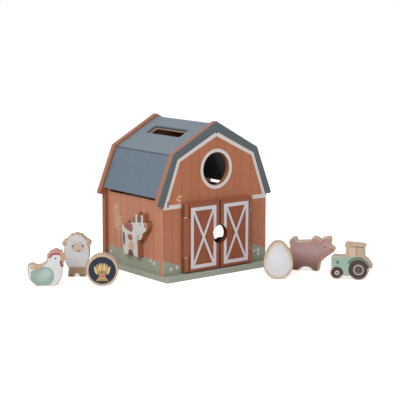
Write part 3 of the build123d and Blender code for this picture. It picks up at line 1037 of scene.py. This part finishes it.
@dataclass(frozen=True)
class DoorPrint(Coat):
    """Printed door: white frame with crossed braces over dark panels, within a plain painted leaf, with
    painted shade along the top of its face.
    """

    face_mm: float = 77.4
    skin_mm: float = 0.06
    frame_x: Point = (6.3, 48.0)
    frame_z: Point = (12.4, 92.3)
    rail_mm: float = 4.7
    brace_mm: float = 3.5
    panel_mm: float = 10.4
    shade_mm: Point = (1.2, 2.0)
    top_shade_mm: float = 96.2
    gap_shade_mm: float = 1.1
    rim_mm: float = 3.0
    hole_mm: Point = (52.9, 13.2)
    notch_mm: Point = (48.45, 48.85)
    knuckle_mm: Point = (28.0, 80.0)

    def braces(self, effects: Effects, flat: Wire, width: float) -> Wire:
        """Mask of the two crossed braces, of some width."""
        (left, right), (low, high) = [
            (start + self.rail_mm, end - self.rail_mm) for start, end in (self.frame_x, self.frame_z)
        ]
        runs = ((left, low), (right, high)), ((left, high), (right, low))
        return reduce(or_, [Stroke(run, width, Chip.DOOR_TRIM).mask(effects, flat) for run in runs])

    def panels(self, effects: Effects, across: Wire, up: Wire) -> tuple[Wire, Wire]:
        """The framed face of a door and the plain paint of its leaf.

        Args:
            effects: Shared effects.
            across: Distance from the middle of the doors.
            up: Height.

        Returns:
            The two colours.
        """
        tree = up.tree
        edge = reduce(or_, [
            abs(value - (start + end) / 2) - (end - start) / 2
            for value, (start, end) in ((across, self.frame_x), (up, self.frame_z))
        ])
        flat = tree.join(across, up)
        planks = tree.group(effects.planks, Across=across, Up=up, Pitch=self.panel_mm)
        leaf = tree.tone(Chip.DOOR, planks["Streaks"] * 0.16 + 0.92)
        inside = edge.under(-self.rail_mm)
        shade = edge.ease(-self.rail_mm - self.shade_mm[0], -self.rail_mm) * inside
        shade = shade | self.braces(effects, flat, self.brace_mm + self.shade_mm[1])
        panel = tree.lay(
            tree.tone(Chip.DOOR_PANEL, planks["Streaks"] * 0.24 + 0.88),
            (planks["Line"] * 0.35, Chip.DOOR_DARK),
            (shade * 0.55, Chip.DOOR_DARK),
            (self.braces(effects, flat, self.brace_mm), Chip.DOOR_TRIM),
        )
        return tree.lay(
            leaf,
            (edge.under(0.8) * 0.5, Chip.DOOR_DARK),
            (edge.under(0.0), Chip.DOOR_TRIM),
            (inside, panel),
            # Painted shade along the top of the face.
            (up.over(self.top_shade_mm, 0.3), Chip.DOOR_TOP_SHADE),
        ), leaf

    def ink(self, effects: Effects, place: Wire) -> tuple[Ink, Number]:
        """The door's face and its leaf, painted shade in the finger hole's bore and on the meeting edge, and
        painted light on the notch walls beside the hinge blocks.
        """
        tree = place.tree
        x, y, up = place.split()
        across = abs(x)
        board, leaf = self.panels(effects, across, up)
        middle, radius = self.hole_mm
        # The finger hole's bore gets painted shade.
        bore = tree.join(x, up - middle).vector("LENGTH").under(radius, 0.3)
        # Painted shade on the meeting edge's front, where the gap between the doors lies.
        gap_shade = across.under(self.gap_shade_mm, 0.2) * y.under(self.rim_mm - self.face_mm, 0.6)
        # Painted light on the notch walls beside the hinge blocks, at the knuckle's ends.
        notch_light = across.over(self.notch_mm[0], 0.05) * across.under(self.notch_mm[1], 0.05)
        ends = up.under(self.knuckle_mm[0]) | up.over(self.knuckle_mm[1])
        return tree.lay(
            leaf,
            (bore, Chip.DOOR_BORE_SHADE),
            (y.under(self.skin_mm - self.face_mm, 0.03), board),
            (gap_shade, Chip.DOOR_GAP_SHADE),
            (notch_light * ends, Chip.DOOR_NOTCH_LIGHT),
        ), 0.0


@dataclass(frozen=True)
class FacePrint(Finish):
    """Printed face of a block: marks laid over a ground colour, with a bare margin along the rim."""

    ground: Paint = Chip.WHITE
    margin_mm: float = 1.1
    soft_mm: float = 0.12
    clouds: float = 0.14
    marks: tuple[Mark, ...] = ()
    wood: Wood = Wood("face_wood")

    def shade(self, effects: Effects, place: Wire) -> tuple[Wire, Wire, Wire]:
        """The marks in turn over the ground, and wood outside the print's unsteady edge."""
        tree = place.tree
        face = tree.wire("ShaderNodeAttribute", "Vector", attribute_name="face_mm")
        rim = tree.wire("ShaderNodeAttribute", "Fac", attribute_name="rim_mm")
        colour = reduce(lambda under, mark: mark.draw(effects, face, under), self.marks, self.ground)
        coat = tree.group(effects.coat, Vector=place, Colour=colour, Clouds=self.clouds)
        edge = (face.noise(0.8, 1.0) - 0.5) * 0.25 + rim
        printed = edge.over(self.margin_mm, self.soft_mm)
        bare, rough, pores = self.wood.shade(effects, place)
        return tree.mix(printed, bare, coat["Colour"]), printed * -0.04 + rough, pores


@dataclass(frozen=True)
class Sheet:
    """A printed film on the flat front of a block, a twentieth of a millimetre proud of it."""

    node: str
    foot_mm: Triple
    pitch_mm: float = 1.1
    lift_mm: float = 0.05
    clear: float = 0.35
    flat_m: float = 2e-5
    weld_mm: float = 1e-5

    def mesh(self) -> bpy.types.Mesh:
        """The block's own mesh."""
        return bpy.data.objects[self.node].data

    def axes(self) -> tuple[np.ndarray, np.ndarray]:
        """Outward normal of the printed side and the direction to its right, from the node's own faces.

        Returns:
            The normal, which is the upright direction that the most area faces and that looks to the
            camera, and the level direction to its right.
        """
        faces = self.mesh().polygons
        normals, areas = read(faces, "normal", 3), read(faces, "area")
        toward = -np.array(Eye().forward())
        upright = (np.abs(normals[:, 2]) < 0.01) & (normals @ toward > 0.05)
        keys, where = np.unique(np.round(normals[upright], 2), axis=0, return_inverse=True)
        best = keys[np.bincount(where.ravel(), areas[upright]).argmax()]
        close = upright & (np.abs(normals - best).max(axis=1) < 0.02)
        normal = (normals[close] * areas[close, None]).sum(axis=0)
        normal /= np.linalg.norm(normal)
        return normal, np.array([-normal[1], normal[0], 0.0])

    def front(self, normal: np.ndarray, right: np.ndarray) -> tuple[np.ndarray, np.ndarray, float]:
        """The flat front's own points and rim: an edge that only one of its triangles uses is on the rim.

        Args:
            normal: Outward normal of the printed side.
            right: Direction to its right.

        Returns:
            The points across and up in millimetres, the rim's edges as pairs of point numbers, and how
            far along the normal the front lies, in metres.
        """
        mesh = self.mesh()
        mesh.calc_loop_triangles()
        corners = read(mesh.vertices, "co", 3)
        triangles = read(mesh.loop_triangles, "vertices", 3, np.int64)
        depth = corners @ normal
        flat = (depth[triangles] > depth.max() - self.flat_m).all(axis=1)
        flat_corners = np.round(np.stack([corners @ right, corners[:, 2]], axis=1) * MM, 3)
        points, index = np.unique(flat_corners[triangles[flat]].reshape(-1, 2), axis=0, return_inverse=True)
        faces = index.reshape(-1, 3)
        edges = np.sort(np.concatenate([faces[:, [0, 1]], faces[:, [1, 2]], faces[:, [2, 0]]]), axis=1)
        edges, uses = np.unique(edges, axis=0, return_counts=True)
        return points, edges[uses == 1], depth.max()

    def build(self, body: str, material: bpy.types.Material) -> bpy.types.Object:
        """Cuts the film to the face: the rim's own edges and a grid of points inside it, joined by a
        constrained triangulation. Each point keeps its place on the face from the foot of the block's
        outline, and its distance from the rim, in millimetres.

        Args:
            body: Body that the block rides on.
            material: Printed finish.

        Returns:
            The film.
        """
        normal, right = self.axes()
        points, rim, front = self.front(normal, right)
        low, high = points.min(axis=0), points.max(axis=0)
        steps = [np.arange(low[i] + self.pitch_mm / 2, high[i], self.pitch_mm) for i in (0, 1)]
        grid = np.stack(np.meshgrid(*steps), axis=-1).reshape(-1, 2)
        ends = points[rim]
        grid = grid[self.inside(grid, ends) & (self.distance(grid, ends) > self.clear * self.pitch_mm)]
        cloud = [Vector(p) for p in np.concatenate([points, grid])]
        made = delaunay_2d_cdt(cloud, [tuple(map(int, e)) for e in rim], [], 1, self.weld_mm)
        spots = np.array([tuple(p) for p in made[0]])
        back = (spots[:, :1] * right + spots[:, 1:] * np.array([0.0, 0.0, 1.0])) / MM
        space = back + normal * (front + self.lift_mm / MM)
        film = bpy.data.meshes.new(f"{self.node}_print")
        film.from_pydata(space.tolist(), [], [tuple(f) for f in made[2]])
        first = np.cross(*(space[list(made[2][0])][1:] - space[made[2][0][0]]))
        if first @ normal < 0:
            film.flip_normals()
        foot = [float(np.dot(self.foot_mm, right)), self.foot_mm[2]]
        place = np.concatenate([spots - foot, np.zeros((len(spots), 1))], axis=1)
        film.attributes.new("face_mm", "FLOAT_VECTOR", "POINT").data.foreach_set("vector", place.ravel())
        reach = self.distance(spots, ends)
        film.attributes.new("rim_mm", "FLOAT", "POINT").data.foreach_set("value", reach)
        piece = add_object(f"{self.node}_print", film)
        dress(piece.name, material)
        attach(piece, body)
        size = high - low
        log.info("film %s: %d points, %d faces, %.1f by %.1f", self.node, len(spots), len(made[2]), *size)
        return piece

    @staticmethod
    def distance(points: np.ndarray, ends: np.ndarray) -> np.ndarray:
        """Distance of each point from the nearest of many segments: the length of p - a - t (b - a), with
        t = (p - a).(b - a) / |b - a|^2 kept within 0 and 1.

        Args:
            points: N points.
            ends: M segments, as M pairs of points.

        Returns:
            N distances.
        """
        start, run = ends[None, :, 0], ends[None, :, 1] - ends[None, :, 0]
        here = points[:, None] - start
        share = np.clip((here * run).sum(-1) / (run * run).sum(-1), 0, 1)
        return np.linalg.norm(here - share[..., None] * run, axis=-1).min(axis=1)

    @staticmethod
    def inside(points: np.ndarray, ends: np.ndarray) -> np.ndarray:
        """Whether each point lies inside the closed rim: a level ray to its right crosses it an odd
        number of times.

        Args:
            points: N points.
            ends: M segments, as M pairs of points.

        Returns:
            N truth values.
        """
        a, b = ends[None, :, 0], ends[None, :, 1]
        p = points[:, None]
        spans = (a[..., 1] > p[..., 1]) != (b[..., 1] > p[..., 1])
        rise = np.where(b[..., 1] == a[..., 1], 1.0, b[..., 1] - a[..., 1])
        cross = a[..., 0] + (p[..., 1] - a[..., 1]) * (b[..., 0] - a[..., 0]) / rise
        return (spans & (cross > p[..., 0])).sum(axis=1) % 2 == 1


class Blocks:
    """The seven shape blocks: wood or painted sides, and a printed film on each front.

    Marks lie at millimetres to the right of and above the foot of each block's outline.
    """

    def __init__(self, effects: Effects) -> None:
        """Keeps the shared effects."""
        self.effects = effects

    def hen(self) -> FacePrint:
        """White hen with a sage wing, red comb and wattle and a gold beak."""
        wing, wing_edge = (146, 165, 154), (134, 150, 140)
        return FacePrint("hen_print", ground=(205, 207, 206), margin_mm=0.3, marks=(
            Spot((-9.5, 23.8), (8.6, 2.6), Chip.TAN),
            Spot((7.2, 38.8), (2.8, 3.6), Chip.COMB),
            Spot((12.4, 42.2), (3.4, 3.2), Chip.COMB),
            Spot((17.6, 42.2), (3.6, 3.0), Chip.COMB),
            Stroke(((5.1, 36.4), (8.0, 39.4), (12.1, 40.8), (18.2, 39.8)), 2.2, (144, 80, 76)),
            Spot((22.6, 35.0), (2.8, 5.4), Chip.GOLD),
            Spot((21.1, 38.8), (2.2, 2.4), (178, 134, 108)),
            Stroke(((20.2, 30.6), (21.2, 25.2)), 3.4, Chip.RED_DEEP),
            Spot((1.5, 12.4), (9.9, 11.7), wing_edge),
            Spot((-7.6, 10.9), (10.1, 9.9), wing_edge),
            Stroke(((-13.2, 16.4), (-0.5, 20.0)), 8.6, wing_edge),
            Spot((1.5, 12.4), (9.0, 10.8), wing, 0.0, 0.8),
            Spot((-7.6, 10.9), (9.2, 9.0), (140, 160, 148), 0.0, 0.8),
            Stroke(((-13.0, 16.2), (-0.5, 19.6)), 7.0, wing),
            Spot((-3.4, 11.6), (7.6, 5.6), (158, 178, 166), 8.0, 2.6),
            Spot((1.8, 16.4), (6.0, 5.4), (168, 186, 179), 0.0, 2.2),
            Spot((13.5, 34.7), (0.9, 1.2), Chip.DARK),
        ))

    def sheep(self) -> FacePrint:
        """White sheep with faint curls, a beige face, tan ears and brown legs."""
        curls = (
            (-8, 49), (-2.5, 51.5), (3.5, 51.5), (9, 48.6), (-10, 23), (10.4, 22.4), (0, 20), (-5.4, 26.6),
            (5.8, 27), (-11.4, 31.4), (11.6, 31.2)
        )
        return FacePrint("sheep_print", ground=(202, 200, 203), margin_mm=0.6, marks=(
            *(Ring(curl, 2.1, 0.5, (196, 194, 196)) for curl in curls),
            Band(13.0, Chip.BROWN, 1.2),
            Band(2.8, Chip.HOOF, 0.5),
            *(Spot((x, 43.8), (2.9, 3.5), Chip.BROWN) for x in (-15.6, 15.6)),
            *(Spot((x, 43.8), (2.2, 2.8), Chip.TAN) for x in (-15.4, 15.4)),
            Spot((1.75, 38.8), (8.9, 6.4), (182, 164, 152), 0.0, 0.4),
            Spot((1.75, 38.8), (8.2, 5.7), Chip.BEIGE, 0.0, 0.4),
            Stroke(((-4.6, 45.6), (-2.6, 46.8)), 0.8, (150, 146, 148)),
            Stroke(((3.6, 46.4), (6.0, 45.8)), 0.8, (150, 146, 148)),
            *(Spot(eye, (1.1, 1.3), Chip.DARK) for eye in ((-4.9, 40.3), (7.7, 40.6))),
            Spot((2.0, 34.1), (1.7, 1.0), Chip.PINK_DEEP),
        ))

    def disc(self) -> FacePrint:
        """Navy disc with a golden sheaf tied in red."""
        steps, gold, light = (-6, -4, -2, 0, 2, 4, 6), Chip.GOLD, Chip.GOLD_LIGHT
        ears = (-6, light), (-4, gold), (-2, light), (2, light), (4, gold), (6, light), (0, gold)
        return FacePrint("round_print", ground=Chip.NAVY, margin_mm=2.0, marks=(
            Ring((0.0, 20.0), 16.4, 2.6, (46, 44, 47)),
            *(Stroke(((0.35 * s, 12.6), (1.15 * s, 6.8)), 1.3, gold) for s in steps),
            *(Stroke(((0.35 * s, 12.6), (1.25 * s, 19.6)), 1.0, gold) for s in steps),
            *(Spot((1.35 * s, 24.2 - 0.12 * s * s), (1.5, 5.4), paint, -2.6 * s) for s, paint in ears),
            Stroke(((-3.4, 12.5), (3.4, 12.5)), 2.4, Chip.RED),
            Stroke(((-3.0, 11.8), (3.0, 11.8)), 0.7, Chip.RED_DEEP),
        ))

    def egg(self) -> FacePrint:
        """Plain off-white egg with a soft-edged bare rim."""
        bare = Wood("egg_rim", light=(204, 190, 172), deep=(188, 168, 148))
        return FacePrint("egg_print", ground=(206, 203, 206), margin_mm=3.1, soft_mm=0.45, wood=bare, marks=(
            Spot((-2.0, 26.0), (9.0, 14.0), (210, 209, 212), 8.0, 3.0),
        ))

    def pig(self) -> FacePrint:
        """Dusty pink pig with a snout, ears, an eye and brown trotters."""
        return FacePrint("pig_print", ground=Chip.PINK, margin_mm=0.7, marks=(
            Spot((2.0, 28.0), (18.0, 8.0), (172, 144, 143), 0.0, 4.0),
            Band(15.0, (124, 92, 86), 13.0),
            Band(4.6, (116, 84, 66), 2.6),
            Stroke(((-19.6, 37.6), (0.0, 39.4)), 1.8, (172, 136, 116)),
            Spot((26.6, 41.2), (3.4, 3.4), Chip.EAR, -12.0, 0.5),
            Spot((9.6, 41.4), (4.4, 2.4), Chip.EAR, 14.0, 0.5),
            Spot((27.0, 34.0), (7.0, 6.0), (180, 146, 140), 0.0, 3.0),
            Stroke(((28.6, 44.0), (30.5, 39.7), (30.4, 35.4)), 0.9, (178, 138, 132)),
            Spot((32.4, 29.4), (3.6, 4.2), (168, 136, 130)),
            *(Spot(nostril, (0.7, 1.1), Chip.PINK_DEEP) for nostril in ((33.4, 30.2), (31.2, 29.8))),
            Spot((23.9, 33.0), (1.0, 1.1), Chip.DARK),
            Spot((19.8, 18.9), (2.6, 2.0), (176, 128, 104)),
            Stroke(((26.0, 22.6), (28.8, 22.0), (31.0, 23.6)), 0.7, Chip.PINK_DEEP),
            Stroke(((10.0, 2.0), (10.8, 12.0)), 0.6, Chip.PINK_DEEP),
            Stroke(((-12.4, 2.0), (-12.8, 12.0)), 0.6, Chip.PINK_DEEP),
        ))

    def tractor(self) -> FacePrint:
        """Sage tractor with dark wheels, a bare wood cab and a roof bar."""
        wheel, small = (14.0, 13.4), (-13.4, 8.2)
        return FacePrint("tractor_print", ground=(182, 162, 136), margin_mm=0.7, marks=(
            Stroke(((5.6, 34.0), (5.6, 41.0)), 8.0, (198, 174, 146)),
            Stroke(((11.2, 32.4), (11.2, 42.0)), 0.9, (142, 114, 92)),
            Stroke(((-2.6, 30.0), (-1.4, 42.0)), 1.8, Chip.SAGE),
            Stroke(((20.4, 30.0), (19.2, 42.0)), 1.8, Chip.SAGE),
            Stroke(((3.7, 43.2), (20.7, 43.2)), 1.0, (112, 88, 72)),
            Stroke(((-12.0, 20.5), (6.0, 20.5)), 19.0, Chip.SAGE),
            Stroke(((-19.4, 29.2), (-4.0, 29.2)), 1.0, Chip.TAN),
            Stroke(((-12.9, 21.6), (-12.9, 23.0)), 3.6, (96, 112, 104)),
            Ring(wheel, 14.9, 4.2, (110, 120, 110)),
            Spot((0.2, 12.0), (3.6, 9.4), Chip.SAGE, 0.0, 0.5),
            Spot(wheel, (12.9, 12.9), Chip.TYRE_DEEP),
            Spot(wheel, (11.8, 11.8), Chip.TYRE),
            Ring(wheel, 6.1, 1.2, (190, 182, 178)),
            Spot(wheel, (5.2, 5.2), (100, 82, 74)),
            Ring(wheel, 2.6, 0.9, Chip.TYRE_DEEP),
            Spot(small, (7.9, 7.9), Chip.TYRE_DEEP),
            Spot(small, (7.1, 7.1), Chip.TYRE),
            Spot(small, (2.9, 2.9), (200, 192, 184)),
            Spot(small, (1.3, 1.3), Chip.TYRE_DEEP),
        ))

    def cow(self) -> FacePrint:
        """White cow with red-brown patches, a tan udder, brown horns, painted shadow at a horn's tip and
        painted shadow under the belly between the legs.
        """
        return FacePrint("cow_print", ground=(196, 196, 192), margin_mm=0.25, marks=(
            Stroke(((-6.6, 39.4), (4.0, 41.4)), 7.6, Chip.PATCH),
            Spot((5.4, 37.9), (4.8, 6.4), Chip.PATCH),
            Spot((0.0, 37.4), (7.6, 4.4), Chip.PATCH, -12.0),
            Spot((4.2, 24.8), (5.6, 4.2), Chip.PATCH, -8.0),
            Spot((-10.2, 21.2), (2.9, 8.8), Chip.MAUVE, 4.0),
            Spot((6.7, 13.4), (6.2, 6.8), Chip.TAN, 0.0, 0.8),
            # Painted shadow under the belly, in the arch between the legs.
            Spot((5.0, 4.8), (5.4, 3.4), (84, 50, 40), 0.0, 0.5),
            Stroke(((21.9, 29.2), (21.2, 24.0), (20.3, 18.3)), 1.6, (96, 82, 78)),
            Spot((24.8, 53.0), (4.6, 6.4), (122, 78, 60)),
            # Painted shadow at the horn's tip.
            Spot((24.6, 56.6), (3.2, 1.8), (76, 38, 28)),
            Spot((11.6, 47.4), (5.4, 2.4), (124, 96, 94)),
            Spot((24.5, 48.9), (4.7, 1.9), Chip.MAUVE),
            Spot((26.0, 44.5), (0.9, 1.2), Chip.DARK),
            Spot((37.8, 44.4), (2.8, 2.8), (160, 106, 80)),
            Ring((37.8, 44.4), 3.2, 1.1, (206, 188, 168)),
            Spot((27.8, 28.6), (4.0, 2.6), (204, 192, 168)),
        ))

    def hen_sides(self, sheet: Sheet) -> Wood:
        """Wood with the comb's paint on its rim, placed by the hen's own front and back.

        Args:
            sheet: The hen's film.

        Returns:
            The finish.
        """
        normal, right = sheet.axes()
        back = float((read(sheet.mesh().vertices, "co", 3) @ normal).min()) * MM
        foot = float(np.dot(sheet.foot_mm, right))
        return CombPaint("hen_sides", right=tuple(right), facing=tuple(normal), foot_mm=foot, back_mm=back)

    def build(self) -> list[bpy.types.Object]:
        """Dresses every block and lays its printed film.

        Returns:
            The films.
        """
        bare = Wood("block_wood").build(self.effects)
        brown = Coat("cow_sides", chip=Chip.COW_SIDE).build(self.effects)
        films = []
        for node, foot, face in (
            ("cow_block", (0.0, 2.0, 23.2), self.cow()),
            ("hen_block", (-217.7, 2.1, 0.0), self.hen()),
            ("sheep_block", (-157.7, 21.7, 0.0), self.sheep()),
            ("round_block", (-160.8, -41.6, 0.0), self.disc()),
            ("egg_block", (38.4, -148.5, 0.0), self.egg()),
            ("pig_block", (102.3, -133.3, 0.0), self.pig()),
            ("tractor_block", (108.5, -203.5, 0.0), self.tractor()),
        ):
            sheet = Sheet(node, foot)
            sides = brown if node == "cow_block" else bare
            if node == "hen_block":
                sides = self.hen_sides(sheet).build(self.effects)
            dress(node, sides)
            films.append(sheet.build(node, face.build(self.effects)))
        return films


@dataclass(frozen=True)
class WheatPrint:
    """Wheat stalks printed on the left wall: each a thin stem with paired grains.

    A stalk is its place along the wall, the heights of its foot and its head, and its pairs of grains.
    """

    wall: str = "left_side_wall"
    stems_mm: tuple[tuple[float, float, float, int], ...] = ((38.9, 25.0, 81.0, 6), (33.8, 23.0, 67.0, 4))
    stem_mm: float = 1.0
    grain_mm: Point = (2.5, 8.6)
    pitch_mm: float = 5.0
    spread_deg: float = 46.0
    lift_mm: float = 0.06

    def leaf(self, across: float, up: float, turn: float, width: float, length: float) -> np.ndarray:
        """Outline grid of a pointed leaf: half-width sin(pi t) ** 0.8 along its length t.

        Args:
            across: Place of its foot along the wall.
            up: Height of its foot.
            turn: Turn from upright in degrees.
            width: Largest width.
            length: Length from foot to tip.

        Returns:
            Grid of points, along by across, in millimetres.
        """
        t = np.linspace(0.0, 1.0, 11)[:, None]
        side = np.array([-0.5, 0.0, 0.5])[None, :] * width * np.sin(np.pi * t) ** 0.8
        a = math.radians(turn)
        y = across + side * math.cos(a) + t * length * math.sin(a)
        z = up - side * math.sin(a) + t * length * math.cos(a)
        return np.stack([y, z], axis=-1)

    def leaves(self) -> list[np.ndarray]:
        """Every stem and grain as a grid of points on the wall.

        Returns:
            The grids.
        """
        grids = []
        for place, low, high, pairs in self.stems_mm:
            lean = 2.0 * math.sin(place)
            slope = math.tan(math.radians(lean))
            grids.append(self.leaf(place, low, lean, self.stem_mm, high - low))
            for step in range(pairs):
                up = high - 2.0 - self.pitch_mm * step
                for turn in (lean - self.spread_deg, lean + self.spread_deg):
                    grids.append(self.leaf(place + (up - low) * slope, up, turn, *self.grain_mm))
            grids.append(self.leaf(place + (high - low) * slope, high - 1.0, lean, *self.grain_mm))
        return grids

    def build(self, effects: Effects) -> bpy.types.Object:
        """Joins the grids into one thin film on the wall, each a little further out than the last.

        Args:
            effects: Shared effects.

        Returns:
            The film.
        """
        grids = np.stack(self.leaves())
        count, rows, columns, _ = grids.shape
        lift = self.lift_mm / MM * (1.0 + 0.1 * np.arange(count))
        outer = np.broadcast_to(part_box(self.wall)[0][0] - lift[:, None, None, None], (*grids.shape[:3], 1))
        points = np.concatenate([outer, grids / MM], axis=-1).reshape(-1, 3)
        index = np.arange(count * rows * columns).reshape(count, rows, columns)
        corners = [index[:, :-1, 1:], index[:, 1:, 1:], index[:, 1:, :-1], index[:, :-1, :-1]]
        mesh = bpy.data.meshes.new("wheat_print")
        mesh.from_pydata(points.tolist(), [], np.stack(corners, axis=-1).reshape(-1, 4).tolist())
        mesh.update()
        piece = add_object("wheat_print", mesh)
        dress(piece.name, Coat("wheat_ink", chip=Chip.WHEAT, clouds=0.3).build(effects))
        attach(piece, "barn")
        return piece


class Barn:
    """The barn's boards, roof, doors and hinges."""

    def __init__(self, effects: Effects) -> None:
        """Keeps the shared effects."""
        self.effects = effects

    def marks(self, side: Side) -> tuple[Mark, ...]:
        """Small printed marks on a wall: flowers in the grass, and a sprig and a dark joint on the front.

        Args:
            side: The wall.

        Returns:
            The marks, in millimetres across and up.
        """
        heads = {
            Side.FRONT: ((-73.7, 14.3), (-64.1, 15.6), (65.6, 21.4), (72.6, 21.6), (72.8, 16.7)),
            Side.LEFT: ((54.7, 19.3), (-36.0, 21.2), (-43.7, 18.9)),
        }.get(side, ())
        flowers = tuple(Spot(head, (2.0, 2.4), Chip.PETAL) for head in heads)
        if side is not Side.FRONT:
            return flowers
        return flowers + (
            Spot((66.8, 16.8), (1.6, 1.3), (164, 132, 134)),
            Stroke(((-78.4, 101.4), (-78.4, 95.4)), 2.4, Chip.SLATE),
            Stroke(((-61.6, 98.6), (-61.2, 104.0)), 1.0, Chip.WHEAT),
            Spot((-59.6, 107.0), (3.2, 1.7), Chip.WHEAT, 12.0),
            Spot((-63.2, 103.4), (2.4, 1.5), Chip.WHEAT, -34.0),
            Spot((-60.0, 101.2), (2.6, 1.5), Chip.WHEAT, 40.0),
        )

    def build(self) -> None:
        """Gives every board and fitting its finish."""
        for side in Side:
            swell = 9.0 if side is Side.FRONT else 2.0
            name = f"{side.name.lower()}_print"
            finish = WallPrint(name, side=side, swell_mm=swell, marks=self.marks(side))
            dress(side.value, finish.build(self.effects))
        for finish, *nodes in (
            (RoofPrint("lower_shingles", steep=True), "left_lower_roof_panel", "right_lower_roof_panel"),
            (RoofPrint("upper_shingles"), "left_upper_roof_panel", "right_upper_roof_panel"),
            (DoorPrint("door_print"), "left_door", "right_door"),
            (
                PostPaint("hinge_paint"), "left_hinge_block_low", "left_hinge_block_high",
                "right_hinge_block_low", "right_hinge_block_high"
            ),
            (Steel("pin_steel"), "left_hinge_pin", "right_hinge_pin"),
            (Coat("washer_plastic", chip=Chip.WASHER, clouds=0.05), "hinge_washers"),
            (Coat("base_paint", clouds=0.2), "base_plate"),
        ):
            material = finish.build(self.effects)
            for node in nodes:
                dress(node, material)
        WheatPrint().build(self.effects)


@dataclass(frozen=True)
class Lamp:
    """A square soft lamp that looks at the barn."""

    name: str
    place_m: Triple
    watts: float
    size_m: float
    aim_m: Triple = (0.0, 0.0, 0.1)

    def build(self) -> None:
        """Hangs the lamp."""
        data = bpy.data.lights.new(self.name, "AREA")
        data.energy, data.size = self.watts, self.size_m
        lamp = add_object(self.name, data)
        lamp.location = self.place_m
        lamp.rotation_euler = (Vector(self.aim_m) - Vector(self.place_m)).to_track_quat("-Z", "Y").to_euler()


@dataclass(frozen=True)
class Studio:
    """Pale floor, pale surround and soft lamps."""

    floor_m: float = 6.0
    drop_m: float = 0.0002
    floor_tone: float = 0.86
    floor_glow: float = 0.6
    world: float = 0.5
    lamps: tuple[Lamp, ...] = (
        Lamp("key_lamp", (-1.5, -0.7, 1.25), 24.0, 1.0), Lamp("fill_lamp", (0.6, -1.6, 0.8), 5.0, 1.2)
    )

    def build(self) -> None:
        """Makes the floor, the surround and the lamps."""
        half = self.floor_m / 2
        mesh = bpy.data.meshes.new("studio_floor")
        corners = [(x * half, y * half, -self.drop_m) for x, y in ((-1, -1), (1, -1), (1, 1), (-1, 1))]
        mesh.from_pydata(corners, [], [(0, 1, 2, 3)])
        floor = add_object("studio_floor", mesh)
        dress(floor.name, self.floor_finish())
        world = bpy.data.worlds.new("studio")
        tree = Tree.of(world)
        path = tree.add("ShaderNodeLightPath").outputs
        rays = [Wire(tree, path[f"Is {ray} Ray"]) for ray in ("Camera", "Glossy", "Transmission")]
        back = tree.add("ShaderNodeBackground")
        tree.fill(back, (255, 255, 255), reduce(or_, rays) * (1.0 - self.world) + self.world)
        tree.end("ShaderNodeOutputWorld", back)
        bpy.context.scene.world = world
        for lamp in self.lamps:
            lamp.build()

    def floor_finish(self) -> bpy.types.Material:
        """Pale floor that shows white to the camera and keeps the shadow.

        Returns:
            The material.
        """
        material = bpy.data.materials.new("studio_floor")
        tree = Tree.of(material)
        shader = tree.add("ShaderNodeBsdfPrincipled")
        shader.inputs["Base Color"].default_value = (*[self.floor_tone] * 3, 1.0)
        shader.inputs["Roughness"].default_value = 0.9
        shader.inputs["Specular IOR Level"].default_value = 0.1
        glow = tree.add("ShaderNodeEmission")
        seen = tree.wire("ShaderNodeLightPath", "Is Camera Ray")
        tree.feed(glow.inputs["Strength"], seen * self.floor_glow)
        both = tree.add("ShaderNodeAddShader")
        tree.fill(both, Wire(tree, shader.outputs[0]), Wire(tree, glow.outputs[0]))
        tree.end("ShaderNodeOutputMaterial", both)
        return material


def main() -> None:
    """Dresses the frame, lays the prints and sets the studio."""
    logging.basicConfig(level=logging.INFO, format="%(name)s: %(message)s")
    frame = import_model()
    bpy.context.scene.view_settings.view_transform = "Standard"
    Eye().build()
    effects = Effects()
    Barn(effects).build()
    films = Blocks(effects).build()
    log.info("%d printed films", len(films))
    Studio().build()


if __name__ == "__main__":
    main()
